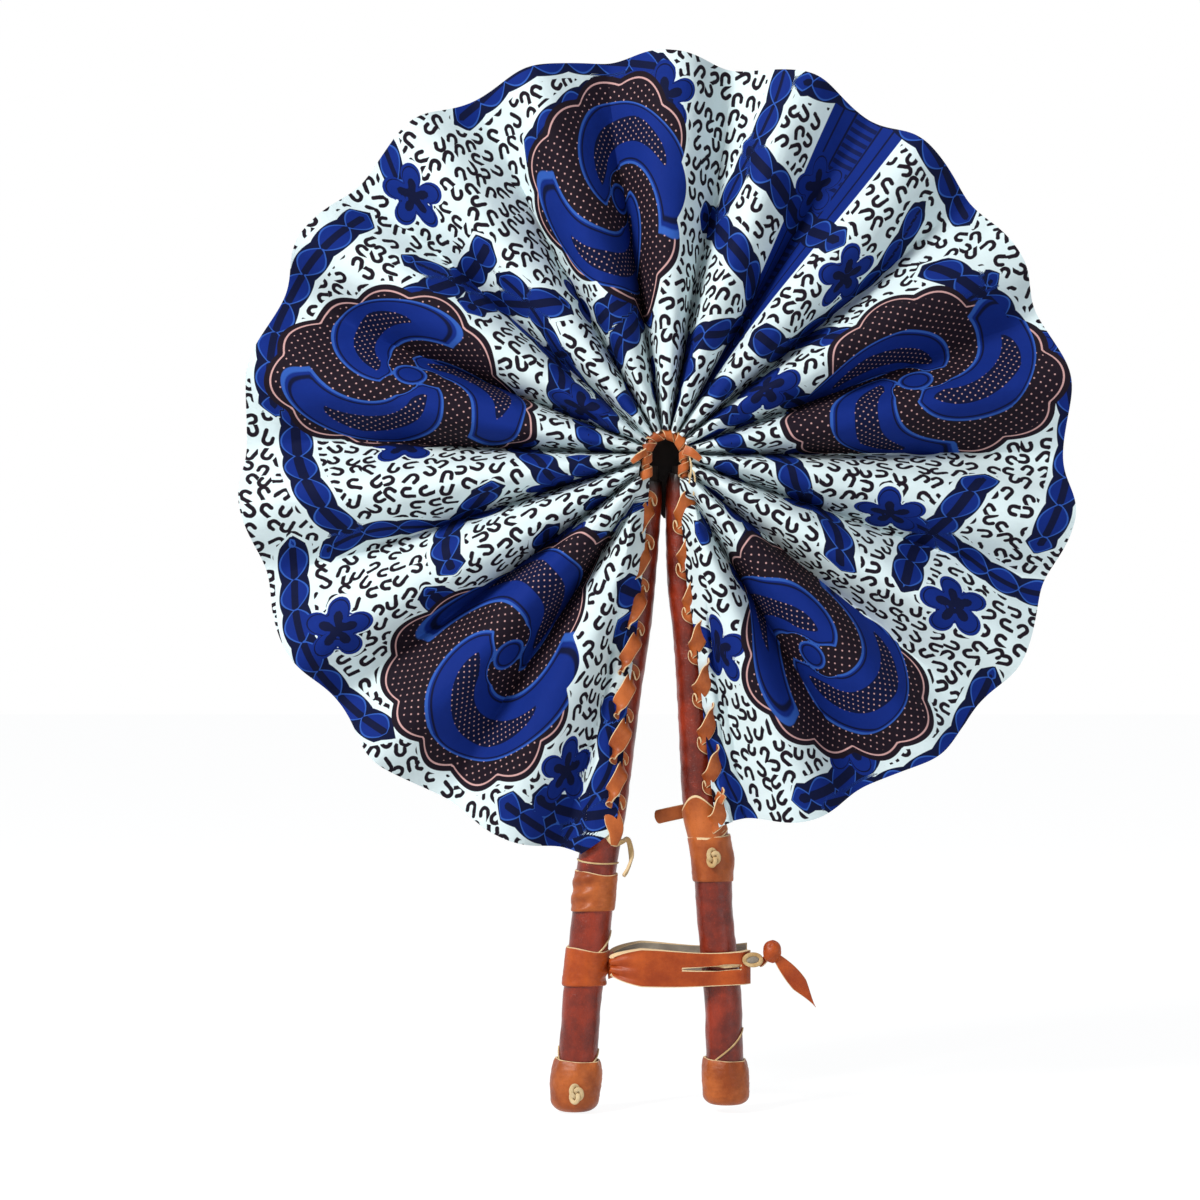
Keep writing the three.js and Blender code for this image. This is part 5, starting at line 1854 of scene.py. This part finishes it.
# %% Toggle thong
TOGGLE_REACH = 31.2 * MM
TOGGLE_CLEARANCE = 1.2 * MM
TOGGLE_HALF_WIDTH = 1.15 * MM
TOGGLE_HALF_THICKNESS = 0.6 * MM


def make_toggle_thong():
    """From the back strand, past its end, round the right handle's far side and forward to the knot."""
    height = STRAP_HEIGHT + BACK_RISE
    back = STRAP_SPAN + STRAND_THICKNESS / 2 + TOGGLE_CLEARANCE
    knot = node_middle("strap_toggle_knot")
    turn_front = np.array([TOGGLE_REACH, -STRAP_SPAN / 2, height])
    to_knot = unit(knot - turn_front) * 2.2 * MM
    line = smooth_line(
        [
            (STRAP_END - 2.6 * MM, back, height),
            (STRAP_END + 1.2 * MM, back, height),
            (TOGGLE_REACH, STRAP_SPAN / 2, height),
            turn_front,
            knot - to_knot,
        ],
        80,
    )
    wide = np.broadcast_to(np.array([0, 0, 1.0]), line.shape)
    half_width, half_thickness = TOGGLE_HALF_WIDTH, TOGGLE_HALF_THICKNESS
    thong = strip("strap_toggle_lace", line, wide, half_width, half_thickness, sides=14, power=3.0)
    return dress(thong, STRAP, "strap_front", "strap_toggle_thong")


toggle_thong = make_toggle_thong()
print("toggle:", toggle_thong.name)

# %% Toggle knot
TOGGLE_KNOT_RADIUS = 2.75 * MM


def make_toggle_knot():
    """A ball of thong, whose radius swells along two sets of slanting wraps: sines of both angles."""
    middle = node_middle("strap_toggle_knot")
    rows, columns = 40, 60
    polar = np.linspace(0.02, np.pi - 0.02, rows)[:, None]
    turn = np.linspace(0, 2 * np.pi, columns, endpoint=False)[None, :]
    first = np.abs(np.sin(2.0 * polar + turn)) ** 0.5
    second = np.abs(np.sin(2.0 * polar - 2 * turn + 0.8)) ** 0.6
    wraps = np.maximum(first, 0.75 * second)
    radius = TOGGLE_KNOT_RADIUS * (0.92 + 0.22 * wraps)
    x = radius * np.sin(polar) * np.cos(turn)
    y = radius * np.sin(polar) * np.sin(turn) * 0.9
    z = radius * np.cos(polar) * 1.2 + 0 * turn
    points = np.stack(np.broadcast_arrays(x, y, z), -1) + middle
    edge = np.clip((0.25 - wraps) / 0.25, 0, 1)
    knot = grid_piece("strap_toggle_ball", points, wrap=True, caps=True, marks={"raw_edge": edge * 0.7})
    return dress(knot, STRAP, "strap_front", "strap_toggle_knot")


toggle_knot = make_toggle_knot()
print("knot:", toggle_knot.name)

# %% Toggle tail
TAIL_START = 2.6 * MM
TAIL_LENGTH = 20.2 * MM
TAIL_HALF_WIDTH = 2.75 * MM
TAIL_HALF_THICKNESS = 0.6 * MM
TAIL_LEAN = math.radians(52)


def make_tail():
    """A leaf-shaped thong end: its half width is a sine to a power, and it curls a little."""
    knot = node_middle("strap_toggle_knot")
    share = np.linspace(0, 1, 70)
    along = TAIL_START + share * TAIL_LENGTH
    path = knot + np.stack([along * math.cos(TAIL_LEAN), 0 * along, -along * math.sin(TAIL_LEAN)], -1)
    path[:, 1] += 0.6 * MM * np.sin(np.pi * share) - 0.2 * MM
    path[:, 0] += 0.5 * MM * np.sin(np.pi * share)
    half = TAIL_HALF_WIDTH * (0.25 + 0.75 * np.sin(np.pi * np.clip(share * 0.95 + 0.08, 0, 1)) ** 0.8)
    half = half * np.clip((1 - share) * 2.2, 0.05, 1) ** 0.8
    wide = np.broadcast_to(np.array([math.sin(TAIL_LEAN), 0.15, math.cos(TAIL_LEAN)]), path.shape)
    tail = strip("strap_toggle_leaf", path, wide, half, TAIL_HALF_THICKNESS, sides=18, power=4.0)
    return dress(tail, STRAP, "strap_front", "strap_toggle_tail")


toggle_tail = make_tail()
print("tail:", toggle_tail.name)

# %% Eye at the strap's end
def make_eye():
    """The pale oval loop that the thong runs through at the strap's end, and the grey core in it."""
    middle = np.array([28.2 * MM, -STRAP_SPAN - 0.9 * MM, STRAP_HEIGHT + 2.6 * MM])
    turn = np.linspace(0, 2 * np.pi, 60, endpoint=False)
    oval = [2.7 * MM * np.cos(turn), 0.3 * MM * np.sin(2 * turn), 1.75 * MM * np.sin(turn)]
    line = middle + np.stack(oval, -1)
    ring = closed_strip("strap_eye_loop", line, 0.7 * MM, 0.45 * MM, np.array([0, -1.0, 0]))
    polar = np.linspace(0.02, np.pi - 0.02, 16)[:, None]
    x = 2.1 * MM * np.cos(polar) + 0 * turn
    y = 0.8 * MM * np.sin(polar) * np.sin(turn)
    z = 1.25 * MM * np.sin(polar) * np.cos(turn)
    core = grid_piece("strap_eye_core", np.stack([x, y, z], -1) + middle, wrap=True, caps=True)
    return (
        dress(ring, RAWHIDE, "strap_front"),
        dress(core, SUEDE, "strap_front"),
    )


eye = make_eye()
print("eye:", [piece.name for piece in eye])

# %% [markdown]
# ## How the cloth was cut
#
# Cloth keeps its area when it is gathered or folded. So the bent area of each piece of cloth is measured.
# The two slivers beside the hems belong to their neighbours' sheets.

# %% Measure the cloth
def cloth_area(piece):
    """Half the area of a shell of cloth, which has a front and a back."""
    mesh = piece.data
    areas = np.zeros(len(mesh.polygons))
    mesh.polygons.foreach_get("area", areas)
    return float(areas.sum() / 2)


beside_hems = {1: [faces[0]], FACE_COUNT - 2: [faces[-1]]}
for k in range(1, FACE_COUNT - 1):
    beside = beside_hems.get(k, [])
    sum(cloth_area(piece) for piece in [faces[k], *beside])
for label, hem in hems.items():
    cloth_area(hem)
print("sheets declared:", len(faces) - 2 + len(hems))

# %% [markdown]
# ## Closing
#
# The box of the model is written.

# %% Write the model's box
print("model box:", np.round(np.array(model_box) / MM, 1).tolist())
